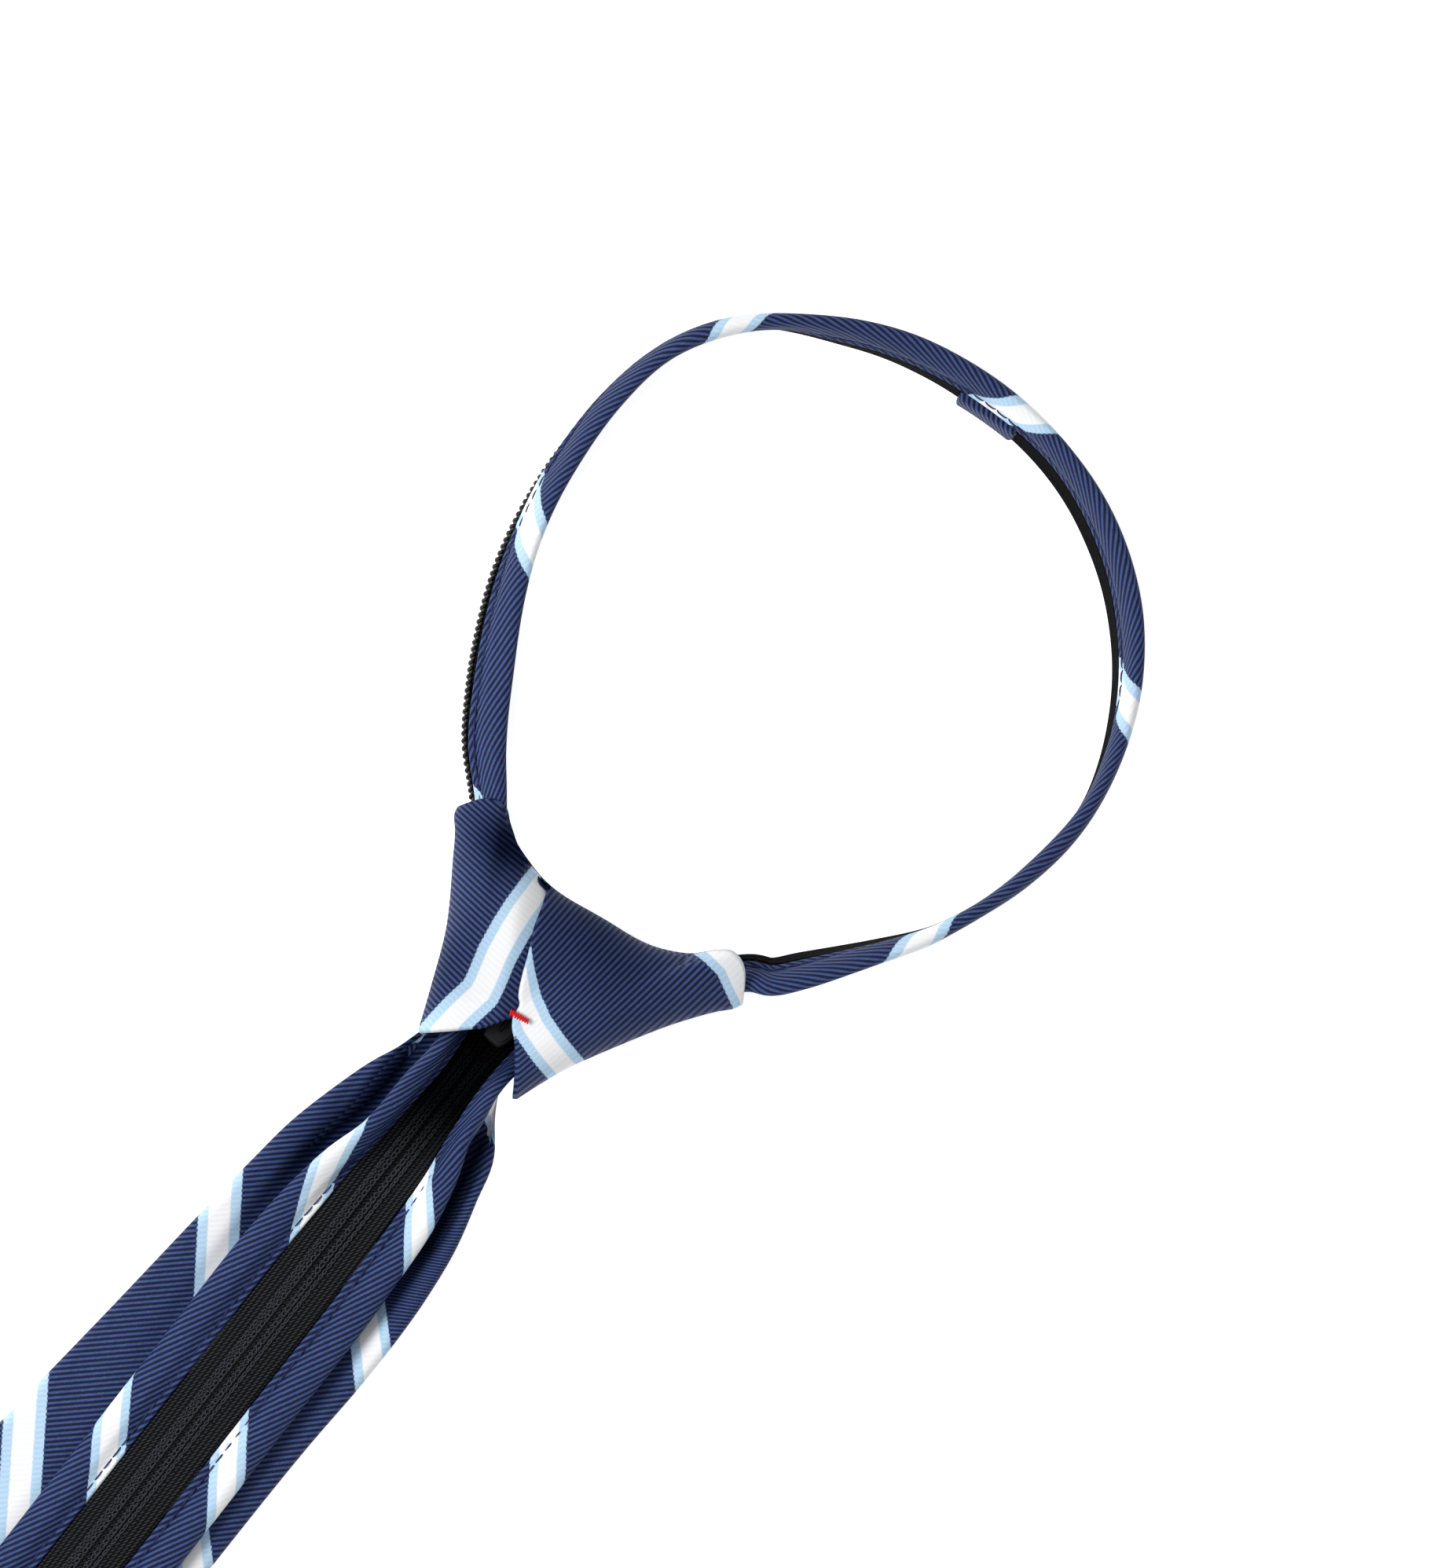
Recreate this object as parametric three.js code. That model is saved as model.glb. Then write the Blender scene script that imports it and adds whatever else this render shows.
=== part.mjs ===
// A pre-tied zipper necktie lying on its front, seen from behind: a folded striped blade, a wrapped knot,
// and a narrow neckband whose two sides carry the halves of a zipper. Above the knot the band opens into
// the neck loop, and below it the zipper is closed and lies on the blade. Millimetres: +Z up, +Y along the
// tie towards the neck.
import * as THREE from "three";

// Driving dimensions in millimetres.
const GAP = 0.3; // clearance between neighbouring pieces
const CLOTH = 1.1; // one layer of tie cloth with its interlining

const LOOP_RADIUS = 65; // middle of the neckband, from the centre of the loop
const LOOP_CENTRE_X = 3;
const LOOP_RISE = 70; // centre of the loop above the throat of the knot

const BAND_WIDTH = 8.6; // the folded strip of cloth, laid flat
const BAND_THICK = 3.4;
const TAPE_WIDTH = 7.1; // zipper tape that shows beside the strip, up to the middle of the closed zipper
const TAPE_THICK = 1;
const COIL_WIDTH = 2.2; // the row of nylon turns along the tape
const COIL_DEPTH = 1.5;
const COIL_PROUD = 0.7; // how far the turns stand past the edge of the tape
const ZIPPER_X = 1; // middle of the closed zipper
const TAIL_LENGTH = 190; // closed zipper below the mouth of the knot
const TAIL_END_LENGTH = 12; // cloth end that closes the tail

const TAB_LENGTH = 14.3; // cloth tab over the two zipper ends at the back of the neck
const TAB_TURN = 91.4; // where it sits on the loop, in degrees
const TAB_THICK = 2.6;

const KNOT_HEIGHT = 40; // mouth to throat
const KNOT_WIDTH = 70; // between the outer corners of the wings
const KNOT_DEPTH = 20;
const WING_DEPTH = 12.4; // depth of the wings where the band comes out
const ARCH_HEIGHT = 14; // the pointed opening at the back of the mouth
const SEAM_GAP = 0.5; // between the two back panels

const TACK_LENGTH = 4.2; // red thread across the foot of the seam
const TACK_THICK = 0.9;
const TACK_UP = 0.06; // its place on the knot, from the mouth (0) to the top edge (1)

const SLIDER_LENGTH = 9;
const SLIDER_WIDTH = 7.4;
const SLIDER_THICK = 1.4;
const SLIDER_TOP = 8; // its narrow end, above the mouth of the knot

const BLADE_LENGTH = 410; // mouth of the knot to the point
const BLADE_WIDTH = 76; // across the corners of the point
const BLADE_THICK = 3.6; // two folded layers and the air between them
const BLADE_TUCK = 15; // hidden end inside the knot
const HEM_WIDTH = 10; // turned back round the point
const HEM_MOST = 0.6; // of the half width that the parted flaps leave open

const WING_FROM = 0.3; // shares of the half width of the knot between which its body thins into the wings
const WING_TO = 0.8;
const THROAT_TO = 0.6; // share up to which the top edge closes flat
const CLOSE_FROM = 0.72; // height above which it closes, from the mouth (0) to the top edge (1)
const WING_HEIGHT = 0.39; // of the middle of a wing, as a share of KNOT_DEPTH
const FOOT_BOXINESS = 6; // powers of the rounded profile of the knot at the mouth and along the top
const TOP_BOXINESS = 14;

// The neckband on the loop. turn is the place round the loop in degrees, counted from +X, and reach is its
// distance as a share of LOOP_RADIUS. lean turns the strip from flat outward (0) through upright (90) to
// flat inward (180). droop turns the tape from flat inward (0) through hanging (90) to outward. deploy is
// the share of the tape that is spread out, and squeeze the share of BAND_WIDTH that the strip keeps.
const LOOP_ROWS = [
  { turn: 242.6, reach: 1.098, lean: 152, droop: 78, deploy: 0.32, squeeze: 0.84, base: 0.25 },
  { turn: 234, reach: 1.05, lean: 156, droop: 88, deploy: 0.75, squeeze: 1, base: 0.06 },
  { turn: 222, reach: 0.989, lean: 154, droop: 92, deploy: 1, squeeze: 1, base: 0 },
  { turn: 206, reach: 0.958, lean: 138, droop: 91, deploy: 1, squeeze: 1, base: 0 },
  { turn: 194, reach: 0.955, lean: 127, droop: 88, deploy: 1, squeeze: 1, base: 0 },
  { turn: 181, reach: 0.967, lean: 124, droop: 82, deploy: 1, squeeze: 1, base: 0 },
  { turn: 166, reach: 1.002, lean: 116, droop: 78, deploy: 1, squeeze: 1, base: 0 },
  { turn: 152, reach: 1.043, lean: 104, droop: 84, deploy: 1, squeeze: 1, base: 0 },
  { turn: 138, reach: 1.041, lean: 90, droop: 88, deploy: 1, squeeze: 1, base: 0 },
  { turn: 122, reach: 1.008, lean: 63, droop: 86, deploy: 1, squeeze: 1, base: 0 },
  { turn: 108, reach: 0.995, lean: 54, droop: 82, deploy: 1, squeeze: 1, base: 0 },
  { turn: 92, reach: 0.984, lean: 54, droop: 78, deploy: 1, squeeze: 1, base: 0 },
  { turn: 75, reach: 0.993, lean: 62, droop: 70, deploy: 1, squeeze: 1, base: 0 },
  { turn: 60, reach: 0.999, lean: 58, droop: 73, deploy: 1, squeeze: 1, base: 0 },
  { turn: 44, reach: 1.006, lean: 57, droop: 77, deploy: 1, squeeze: 1, base: 0 },
  { turn: 27, reach: 1.007, lean: 69, droop: 80, deploy: 1, squeeze: 1, base: 0 },
  { turn: 9, reach: 1.004, lean: 90, droop: 80, deploy: 1, squeeze: 1, base: 0 },
  { turn: -9, reach: 0.98, lean: 92, droop: 82, deploy: 1, squeeze: 1, base: 0 },
  { turn: -27, reach: 0.969, lean: 88, droop: 82, deploy: 1, squeeze: 1, base: 0 },
  { turn: -40, reach: 0.971, lean: 70, droop: 82, deploy: 1, squeeze: 1, base: 0 },
  { turn: -53.2, reach: 1.014, lean: 48, droop: 74, deploy: 0.8, squeeze: 0.94, base: 0.06 },
  { turn: -58.6, reach: 1.04, lean: 42, droop: 70, deploy: 0.56, squeeze: 0.88, base: 0.12 },
  { turn: -62.5, reach: 1.038, lean: 27, droop: 62, deploy: 0.34, squeeze: 0.8, base: 0.17 },
];

// The hidden run through the knot, from the mouth to a wing. across and up are shares of the way from the
// last tail row to the end of the wing, base is a share of KNOT_DEPTH, and left and right are the leans of
// the two strips.
const KNOT_ROWS = [
  { across: 0.06, up: 0.24, left: 58, right: 56, droop: 20, deploy: 0.5, squeeze: 0.66, base: 0.3 },
  { across: 0.37, up: 0.51, left: 96, right: 50, droop: 40, deploy: 0.4, squeeze: 0.72, base: 0.27 },
  { across: 0.6, up: 0.75, left: 132, right: 38, droop: 60, deploy: 0.34, squeeze: 0.78, base: 0.24 },
];

// The tail from its end up to the mouth. down is a share of KNOT_HEIGHT below the mouth, where the strips
// turn up into the knot, and lift a share of BLADE_THICK.
const TAIL_ROWS = [
  { down: 1.9, left: 0, right: 0, droop: 0, deploy: 1, squeeze: 1, lift: 0 },
  { down: 1.4, left: 5, right: 0, droop: 0, deploy: 1, squeeze: 1, lift: 0 },
  { down: 1.1, left: 14, right: 2, droop: 4, deploy: 0.96, squeeze: 0.98, lift: 0.05 },
  { down: 0.78, left: 38, right: 12, droop: 10, deploy: 0.92, squeeze: 0.94, lift: 0.12 },
  { down: 0.55, left: 60, right: 32, droop: 14, deploy: 0.88, squeeze: 0.86, lift: 0.2 },
  { down: 0.26, left: 50, right: 58, droop: 14, deploy: 0.7, squeeze: 0.74, lift: 0.25 },
  { down: 0, left: 42, right: 62, droop: 10, deploy: 0.6, squeeze: 0.66, lift: 0.25 },
];

// The back outline of the knot: half widths up the two sides, as shares of half KNOT_WIDTH.
const KNOT_SIDES = [
  { up: 0, left: 0.345, right: 0.345, depth: 0.88 },
  { up: 0.22, left: 0.445, right: 0.445, depth: 0.93 },
  { up: 0.5, left: 0.585, right: 0.622, depth: 1 },
  { up: 0.78, left: 0.79, right: 0.83, depth: 0.98 },
  { up: 1, left: 0.975, right: 1.045, depth: 0.9 },
];

// The top edge of the knot from the left wing to the right one: rise above the throat as a share of
// KNOT_HEIGHT.
const KNOT_TOP = [
  { side: -1, rise: 0.015 },
  { side: -0.93, rise: 0.09 },
  { side: -0.8, rise: 0.2 },
  { side: -0.68, rise: 0.12 },
  { side: -0.52, rise: 0.047 },
  { side: -0.34, rise: 0 },
  { side: 0.1, rise: 0.028 },
  { side: 0.45, rise: 0.085 },
  { side: 0.61, rise: 0.16 },
  { side: 0.78, rise: 0.29 },
  { side: 0.9, rise: 0.25 },
  { side: 1, rise: 0.12 },
];
const SEAM_TOP = -0.34; // the seam between the back panels, as a share of the half width at the throat
const SEAM_FOOT = 0.14; // and at the point of the arch

// The blade from the knot to its point: half width, sideways drift of its middle and curl of its edges.
// down is a share of BLADE_LENGTH, half of half BLADE_WIDTH, drift of BLADE_WIDTH, and curl, roll and rise
// of BLADE_THICK.
const BLADE_ROWS = [
  { down: -0.037, half: 0.21, drift: -0.008, curl: 0, roll: 0, rise: 0.6 },
  { down: 0.002, half: 0.24, drift: -0.008, curl: 0, roll: 0, rise: 0.6 },
  { down: 0.012, half: 0.325, drift: -0.012, curl: 0.5, roll: 0.1, rise: 0.5 },
  { down: 0.025, half: 0.41, drift: 0, curl: 1.15, roll: 0.35, rise: 0.3 },
  { down: 0.05, half: 0.495, drift: 0, curl: 1.25, roll: 0.55, rise: 0.08 },
  { down: 0.075, half: 0.562, drift: 0.001, curl: 0.95, roll: 0.45, rise: 0 },
  { down: 0.1, half: 0.597, drift: 0.001, curl: 0.65, roll: 0.3, rise: 0 },
  { down: 0.14, half: 0.628, drift: -0.006, curl: 0.3, roll: 0.12, rise: 0 },
  { down: 0.2, half: 0.646, drift: -0.028, curl: 0.08, roll: 0.03, rise: 0 },
  { down: 0.3, half: 0.696, drift: -0.06, curl: 0, roll: 0, rise: 0 },
  { down: 0.5, half: 0.797, drift: -0.13, curl: 0, roll: 0, rise: 0 },
  { down: 0.7, half: 0.9, drift: -0.2, curl: 0, roll: 0, rise: 0 },
  { down: 0.9, half: 1, drift: -0.27, curl: 0, roll: 0, rise: 0 },
];
const POINT_ROWS = [0.93, 0.96, 0.98, 0.995]; // sections down the point of the blade
const FLAPS_PART = 0.72; // where the two flaps begin to part above the point

const TAPE_START = GAP + TAPE_THICK / 2; // clear of the strip's edge at every fold between strip and tape
const BAND_STEP = 4.5; // distance between sections round the loop
const TAIL_STEP = 16; // and down the straight tail
const BAND_SIDES = 10;
const SHAPE_KEYS = ["lean", "droop", "deploy", "squeeze", "foot"];

const radians = THREE.MathUtils.degToRad;
const lerp = THREE.MathUtils.lerp;
const smooth = THREE.MathUtils.smoothstep;
const point = (x, y, z) => new THREE.Vector3(x, y, z);

// A table's row at any place along one of its columns, every other column worked out between its
// neighbours.
function rowAt(table, column, value) {
  let next = table.findIndex((row) => row[column] >= value);
  if (next < 1) next = next === 0 ? 1 : table.length - 1;
  const a = table[next - 1];
  const b = table[next];
  const share = THREE.MathUtils.clamp((value - a[column]) / (b[column] - a[column]), 0, 1);
  return Object.fromEntries(Object.keys(a).map((key) => [key, lerp(a[key], b[key], share)]));
}

// One closed surface from a list of triangles' corner points.
function solid(triangles) {
  const geometry = new THREE.BufferGeometry();
  const corners = triangles.flat().flatMap((p) => p.toArray());
  geometry.setAttribute("position", new THREE.Float32BufferAttribute(corners, 3));
  geometry.computeVertexNormals();
  return geometry;
}

const quad = (a, b, c, d) => [[a, b, c], [a, c, d]];

// A tube through closed rings of points, with flat ends.
function tube(rings) {
  const triangles = [];
  const sides = rings[0].length;
  for (let i = 0; i + 1 < rings.length; i++)
    for (let j = 0; j < sides; j++) {
      const k = (j + 1) % sides;
      triangles.push(...quad(rings[i][j], rings[i][k], rings[i + 1][k], rings[i + 1][j]));
    }
  const first = rings[0];
  const last = rings[rings.length - 1];
  for (let j = 1; j + 1 < sides; j++) {
    triangles.push([first[0], first[j + 1], first[j]]);
    triangles.push([last[0], last[j], last[j + 1]]);
  }
  return solid(triangles);
}

// A thick sheet between two grids of points, an outer and an inner one, closed along its four edges.
function sheet(outer, inner) {
  const triangles = [];
  const rows = outer.length;
  const columns = outer[0].length;
  for (let i = 0; i + 1 < rows; i++)
    for (let j = 0; j + 1 < columns; j++) {
      triangles.push(...quad(outer[i][j], outer[i][j + 1], outer[i + 1][j + 1], outer[i + 1][j]));
      triangles.push(...quad(inner[i][j], inner[i + 1][j], inner[i + 1][j + 1], inner[i][j + 1]));
    }
  for (let j = 0; j + 1 < columns; j++) {
    const end = rows - 1;
    triangles.push(...quad(outer[0][j], inner[0][j], inner[0][j + 1], outer[0][j + 1]));
    triangles.push(...quad(outer[end][j], outer[end][j + 1], inner[end][j + 1], inner[end][j]));
  }
  for (let i = 0; i + 1 < rows; i++) {
    const end = columns - 1;
    triangles.push(...quad(outer[i][0], outer[i + 1][0], inner[i + 1][0], inner[i][0]));
    triangles.push(...quad(outer[i][end], inner[i][end], inner[i + 1][end], outer[i + 1][end]));
  }
  return solid(triangles);
}

// How far the coil reaches below the free edge of the tape, for a droop in radians.
const coilReach = COIL_DEPTH + GAP / 2 + TAPE_THICK / 2;
const coilFoot = (droop) => COIL_PROUD * Math.sin(droop) + coilReach * Math.max(Math.cos(droop), 0);
const spreadTape = (row) => (TAPE_WIDTH - COIL_PROUD - GAP / 2) * row.deploy;

// Height of the stitched edge of the strip, where the tape leaves it. foot is the height of the lowest
// point there.
function hingeHeight(row) {
  const droop = radians(row.droop);
  return row.foot + coilFoot(droop) + spreadTape(row) * Math.sin(droop);
}

// The blade's levels, which the tail rests on.
const bladeRow = (y) => rowAt(BLADE_ROWS, "down", (-KNOT_HEIGHT - y) / BLADE_LENGTH);
const bladeTop = (y) => BLADE_THICK * (1 + bladeRow(y).rise);

// The tail's stations for one side: side is -1 on the left and 1 on the right.
function tailStations(side) {
  const rows = [{ ...TAIL_ROWS[0], y: -KNOT_HEIGHT - TAIL_LENGTH }];
  for (const row of TAIL_ROWS) rows.push({ ...row, y: -KNOT_HEIGHT * (1 + row.down) });
  return rows.map((row) => {
    const lean = side < 0 ? row.left : row.right;
    const half = (BAND_WIDTH * row.squeeze) / 2;
    const gutter = spreadTape(row) * Math.cos(radians(row.droop)) + COIL_PROUD + GAP / 2;
    const x = ZIPPER_X + side * (gutter + half * Math.cos(radians(lean)));
    return { ...row, lean, x, foot: bladeTop(row.y) + GAP + row.lift * BLADE_THICK };
  });
}

// The loop's stations from the left wing round to the right one.
function loopStations() {
  return LOOP_ROWS.map((row) => ({
    ...row,
    x: LOOP_CENTRE_X + LOOP_RADIUS * row.reach * Math.cos(radians(row.turn)),
    y: LOOP_RISE + LOOP_RADIUS * row.reach * Math.sin(radians(row.turn)),
    foot: row.base * KNOT_DEPTH,
  }));
}

function knotStations(mouth, wing, side) {
  return KNOT_ROWS.map((row) => ({
    ...row,
    lean: side < 0 ? row.left : row.right,
    x: lerp(mouth.x, wing.x, row.across),
    y: lerp(mouth.y, wing.y, row.up),
    foot: row.base * KNOT_DEPTH,
  }));
}

// The whole run of the neckband: up the left of the tail, through the knot, round the neck and down again.
function bandStations() {
  const left = tailStations(-1);
  const right = tailStations(1).reverse();
  const loop = loopStations();
  return [
    ...left,
    ...knotStations(left[left.length - 1], loop[0], -1),
    ...loop,
    ...knotStations(right[0], loop[loop.length - 1], 1).reverse(),
    ...right,
  ];
}

// The run as frames at even distances. outward is the level direction away from the neck or the zipper.
function bandRun() {
  const stations = bandStations();
  const curve = new THREE.CatmullRomCurve3(stations.map((s) => point(s.x, s.y, 0)), false, "centripetal");
  const samples = 24;
  const frames = [];
  let length = 0;
  for (let i = 0; i <= (stations.length - 1) * samples; i++) {
    const place = i / samples;
    const a = stations[Math.min(Math.floor(place), stations.length - 2)];
    const b = stations[stations.indexOf(a) + 1];
    const share = place - stations.indexOf(a);
    const frame = { centre: curve.getPoint(place / (stations.length - 1)) };
    for (const key of SHAPE_KEYS) frame[key] = lerp(a[key], b[key], share);
    const half = (BAND_WIDTH * frame.squeeze) / 2;
    frame.centre.z = hingeHeight(frame) + half * Math.sin(radians(frame.lean));
    if (frames.length) length += frame.centre.distanceTo(frames[frames.length - 1].centre);
    frames.push({ ...frame, length });
  }
  frames.forEach((frame, i) => {
    const before = frames[Math.max(i - 1, 0)].centre;
    const after = frames[Math.min(i + 1, frames.length - 1)].centre;
    frame.outward = point(before.y - after.y, after.x - before.x, 0).normalize();
  });
  return { frames, length };
}

const run = bandRun();

function frameAt(length) {
  const past = run.frames.findIndex((f) => f.length >= length);
  const next = THREE.MathUtils.clamp(past, 1, run.frames.length - 1);
  const a = run.frames[next - 1];
  const b = run.frames[next];
  const share = (length - a.length) / (b.length - a.length);
  const frame = {
    centre: a.centre.clone().lerp(b.centre, share),
    outward: a.outward.clone().lerp(b.outward, share).normalize(),
  };
  for (const key of SHAPE_KEYS) frame[key] = lerp(a[key], b[key], share);
  return frame;
}

// Directions of the strip and the tape in the section at a frame, and the hinge between them.
function sectionAt(length) {
  const frame = frameAt(length);
  const up = point(0, 0, 1);
  const lean = radians(frame.lean);
  const droop = radians(frame.droop);
  const mix = (a, b) => frame.outward.clone().multiplyScalar(a).addScaledVector(up, b);
  const strip = mix(Math.cos(lean), Math.sin(lean));
  const half = (BAND_WIDTH * frame.squeeze) / 2;
  return {
    frame,
    strip,
    stripNormal: mix(-Math.sin(lean), Math.cos(lean)),
    tape: mix(-Math.cos(droop), -Math.sin(droop)),
    tapeNormal: mix(Math.sin(droop), -Math.cos(droop)),
    half,
    hinge: frame.centre.clone().addScaledVector(strip, -half),
  };
}

// Distances along the run between two ends, close together where it curves.
function stepsBetween(from, to) {
  const steps = [from];
  const straight = TAIL_LENGTH - 2 * KNOT_HEIGHT;
  while (to - steps[steps.length - 1] > 1e-6) {
    const at = steps[steps.length - 1];
    const inTail = at < straight || at > run.length - straight;
    steps.push(Math.min(at + (inTail ? TAIL_STEP : BAND_STEP), to));
  }
  if (steps.length > 2 && to - steps[steps.length - 2] < BAND_STEP / 3) steps.splice(steps.length - 2, 1);
  return steps;
}

// A bar of a given outline in the section plane, along part of the run.
const bar = (from, to, outline) => tube(stepsBetween(from, to).map((length) => outline(sectionAt(length))));

function stripOutline(section) {
  return Array.from({ length: BAND_SIDES }, (_, i) => {
    const turn = (i / BAND_SIDES) * 2 * Math.PI;
    const along = Math.sign(Math.cos(turn)) * Math.abs(Math.cos(turn)) ** 0.8 * section.half;
    const across = (Math.sign(Math.sin(turn)) * Math.abs(Math.sin(turn)) ** 0.8 * BAND_THICK) / 2;
    return section.frame.centre.clone().addScaledVector(section.strip, along)
      .addScaledVector(section.stripNormal, across);
  });
}

// A rectangle that starts at the hinge and lies along the tape.
function tapeBox(section, start, end, low, high) {
  const corner = (along, across) => {
    const place = section.hinge.clone().addScaledVector(section.tape, along);
    return place.addScaledVector(section.tapeNormal, across);
  };
  return [corner(start, low), corner(start, high), corner(end, high), corner(end, low)].reverse();
}

const tapeOutline = (s) => tapeBox(s, TAPE_START, spreadTape(s.frame), -TAPE_THICK / 2, TAPE_THICK / 2);

function coilOutline(section) {
  const end = spreadTape(section.frame) + COIL_PROUD;
  const top = TAPE_THICK / 2 + GAP / 2;
  return tapeBox(section, end - COIL_WIDTH, end, top, top + COIL_DEPTH);
}

function tabOutline(section) {
  const end = spreadTape(section.frame) + COIL_PROUD;
  return tapeBox(section, TAPE_START, end, -TAPE_THICK / 2, TAB_THICK - TAPE_THICK / 2);
}

// The place of the tab on the run, found from its turn about the centre of the loop.
function tabPlace() {
  const past = run.frames.find((f) => {
    const turn = Math.atan2(f.centre.y - LOOP_RISE, f.centre.x - LOOP_CENTRE_X);
    return f.centre.y > LOOP_RISE && turn <= radians(TAB_TURN);
  });
  return past.length;
}

// Places across a folded sleeve: from its seam round one side, along the front and round the other side.
// Each has a share of the half width and is at the back (1) or the front (-1).
function sleevePlaces(seamLeft, seamRight, count, crowd) {
  const spread = (n) => Array.from({ length: n + 1 }, (_, i) => i / n);
  const ease = (t) => 1 - (1 - t) ** crowd;
  const back = (seam, edge) => spread(count).map((t) => ({ share: lerp(seam, edge, ease(t)), face: 1 }));
  const front = spread(2 * count).slice(1, -1).map((t) => {
    const half = Math.abs(2 * t - 1);
    return { share: Math.sign(2 * t - 1) * ease(half), face: -1 };
  });
  return [...back(seamLeft, -1), ...front, ...back(seamRight, 1).reverse()];
}

// The wrapped knot. up runs from 0 at the mouth to 1 along the top edge.
function knotPoint(up, place, inset) {
  const row = rowAt(KNOT_SIDES, "up", up);
  const { share, face } = place;
  const half = (KNOT_WIDTH / 2) * (share < 0 ? row.left : row.right);
  const top = KNOT_HEIGHT * rowAt(KNOT_TOP, "side", share).rise;
  const fromArch = Math.abs(share - SEAM_FOOT) / (share < SEAM_FOOT ? 1 + SEAM_FOOT : 1 - SEAM_FOOT);
  const bottom = -KNOT_HEIGHT + (face > 0 ? ARCH_HEIGHT * (1 - fromArch) : 0);
  const wing = smooth(Math.abs(share), WING_FROM, WING_TO) * up ** 3;
  const middle = 1 - smooth(Math.abs(share), THROAT_TO, WING_TO);
  const shoulder = Math.max(0, (up - CLOSE_FROM) / (1 - CLOSE_FROM));
  const close = Math.sqrt(1 - middle * Math.min(1, shoulder) ** 2);
  const slot = CLOTH + GAP / 2;
  const full = lerp((KNOT_DEPTH / 2) * row.depth, WING_DEPTH / 2, wing);
  const depth = slot + (full - slot) * close;
  const round = Math.sqrt(Math.max(0, 1 - Math.abs(share) ** lerp(FOOT_BOXINESS, TOP_BOXINESS, up)));
  const middleHeight = lerp((KNOT_DEPTH / 2) * row.depth, KNOT_DEPTH * WING_HEIGHT, wing);
  return point(
    share * (half - inset),
    lerp(bottom, top, up),
    middleHeight + face * (inset ? Math.max(depth - inset, GAP / 2) : depth) * round,
  );
}

function seamShare(up, sign) {
  const row = rowAt(KNOT_SIDES, "up", up);
  return lerp(SEAM_FOOT, SEAM_TOP, up) + (sign * SEAM_GAP) / KNOT_WIDTH / row.left;
}

function knotWrap() {
  const rows = [1, 0.96, 0.9, 0.82, 0.72, 0.6, 0.45, 0.28, 0.12, 0];
  const grid = (inset) =>
    rows.map((up) => {
      const places = sleevePlaces(seamShare(up, -1), seamShare(up, 1), 11, 1.6);
      return places.map((place) => knotPoint(up, place, inset));
    });
  return sheet(grid(0), grid(CLOTH));
}

// The folded blade. Its two flaps meet along the middle of the back and part above the point.
function bladeRowAt(down) {
  const last = BLADE_ROWS[BLADE_ROWS.length - 1];
  const row = rowAt(BLADE_ROWS, "down", down);
  const taper = down > last.down ? (1 - down) / (1 - last.down) : 1;
  const half = (BLADE_WIDTH / 2) * row.half * taper;
  const parting = smooth(down, FLAPS_PART, last.down);
  const seam = Math.max(SEAM_GAP / 2, (half - HEM_WIDTH) * parting);
  return { ...row, half, seam: Math.min(seam / half, HEM_MOST) };
}

function bladePoint(down, row, place, inset) {
  const { share, face } = place;
  const fold = Math.min(BLADE_THICK * (1 + row.roll), 1.6 * row.half) / 2;
  const foldStart = 1 - fold / row.half;
  const past = Math.max(0, (Math.abs(share) - foldStart) / (1 - foldStart));
  const swell = smooth(Math.abs(share), 0.45, foldStart) * row.roll * BLADE_THICK;
  const thick = BLADE_THICK + swell;
  const bottom = BLADE_THICK * (row.rise + row.curl * Math.abs(share) ** 3);
  const half = thick / 2 - inset;
  return point(
    BLADE_WIDTH * row.drift + share * (row.half - inset),
    -KNOT_HEIGHT - BLADE_LENGTH * down,
    bottom + thick / 2 + face * half * Math.sqrt(1 - past * past),
  );
}

function blade() {
  const tuck = -BLADE_TUCK / BLADE_LENGTH;
  const downs = [tuck, ...BLADE_ROWS.slice(1).map((row) => row.down), 0.8, FLAPS_PART, ...POINT_ROWS];
  downs.sort((a, b) => a - b);
  const grid = (inset) =>
    downs.map((down) => {
      const row = bladeRowAt(down);
      return sleevePlaces(-row.seam, row.seam, 6, 2.2).map((place) => bladePoint(down, row, place, inset));
    });
  return sheet(grid(0), grid(CLOTH));
}

// The red thread over the foot of the seam, on the back of the knot.
function barTack() {
  const shape = new THREE.Shape();
  const half = TACK_THICK / 2;
  shape.absarc(TACK_LENGTH / 2 - half, 0, half, -Math.PI / 2, Math.PI / 2);
  shape.absarc(half - TACK_LENGTH / 2, 0, half, Math.PI / 2, (3 * Math.PI) / 2);
  const options = { depth: TACK_THICK, bevelEnabled: false, curveSegments: 4 };
  const geometry = new THREE.ExtrudeGeometry(shape, options);
  const seat = knotPoint(TACK_UP, { share: SEAM_FOOT, face: 1 }, 0);
  geometry.translate(seat.x, seat.y, seat.z + 2 * GAP);
  return geometry;
}

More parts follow.
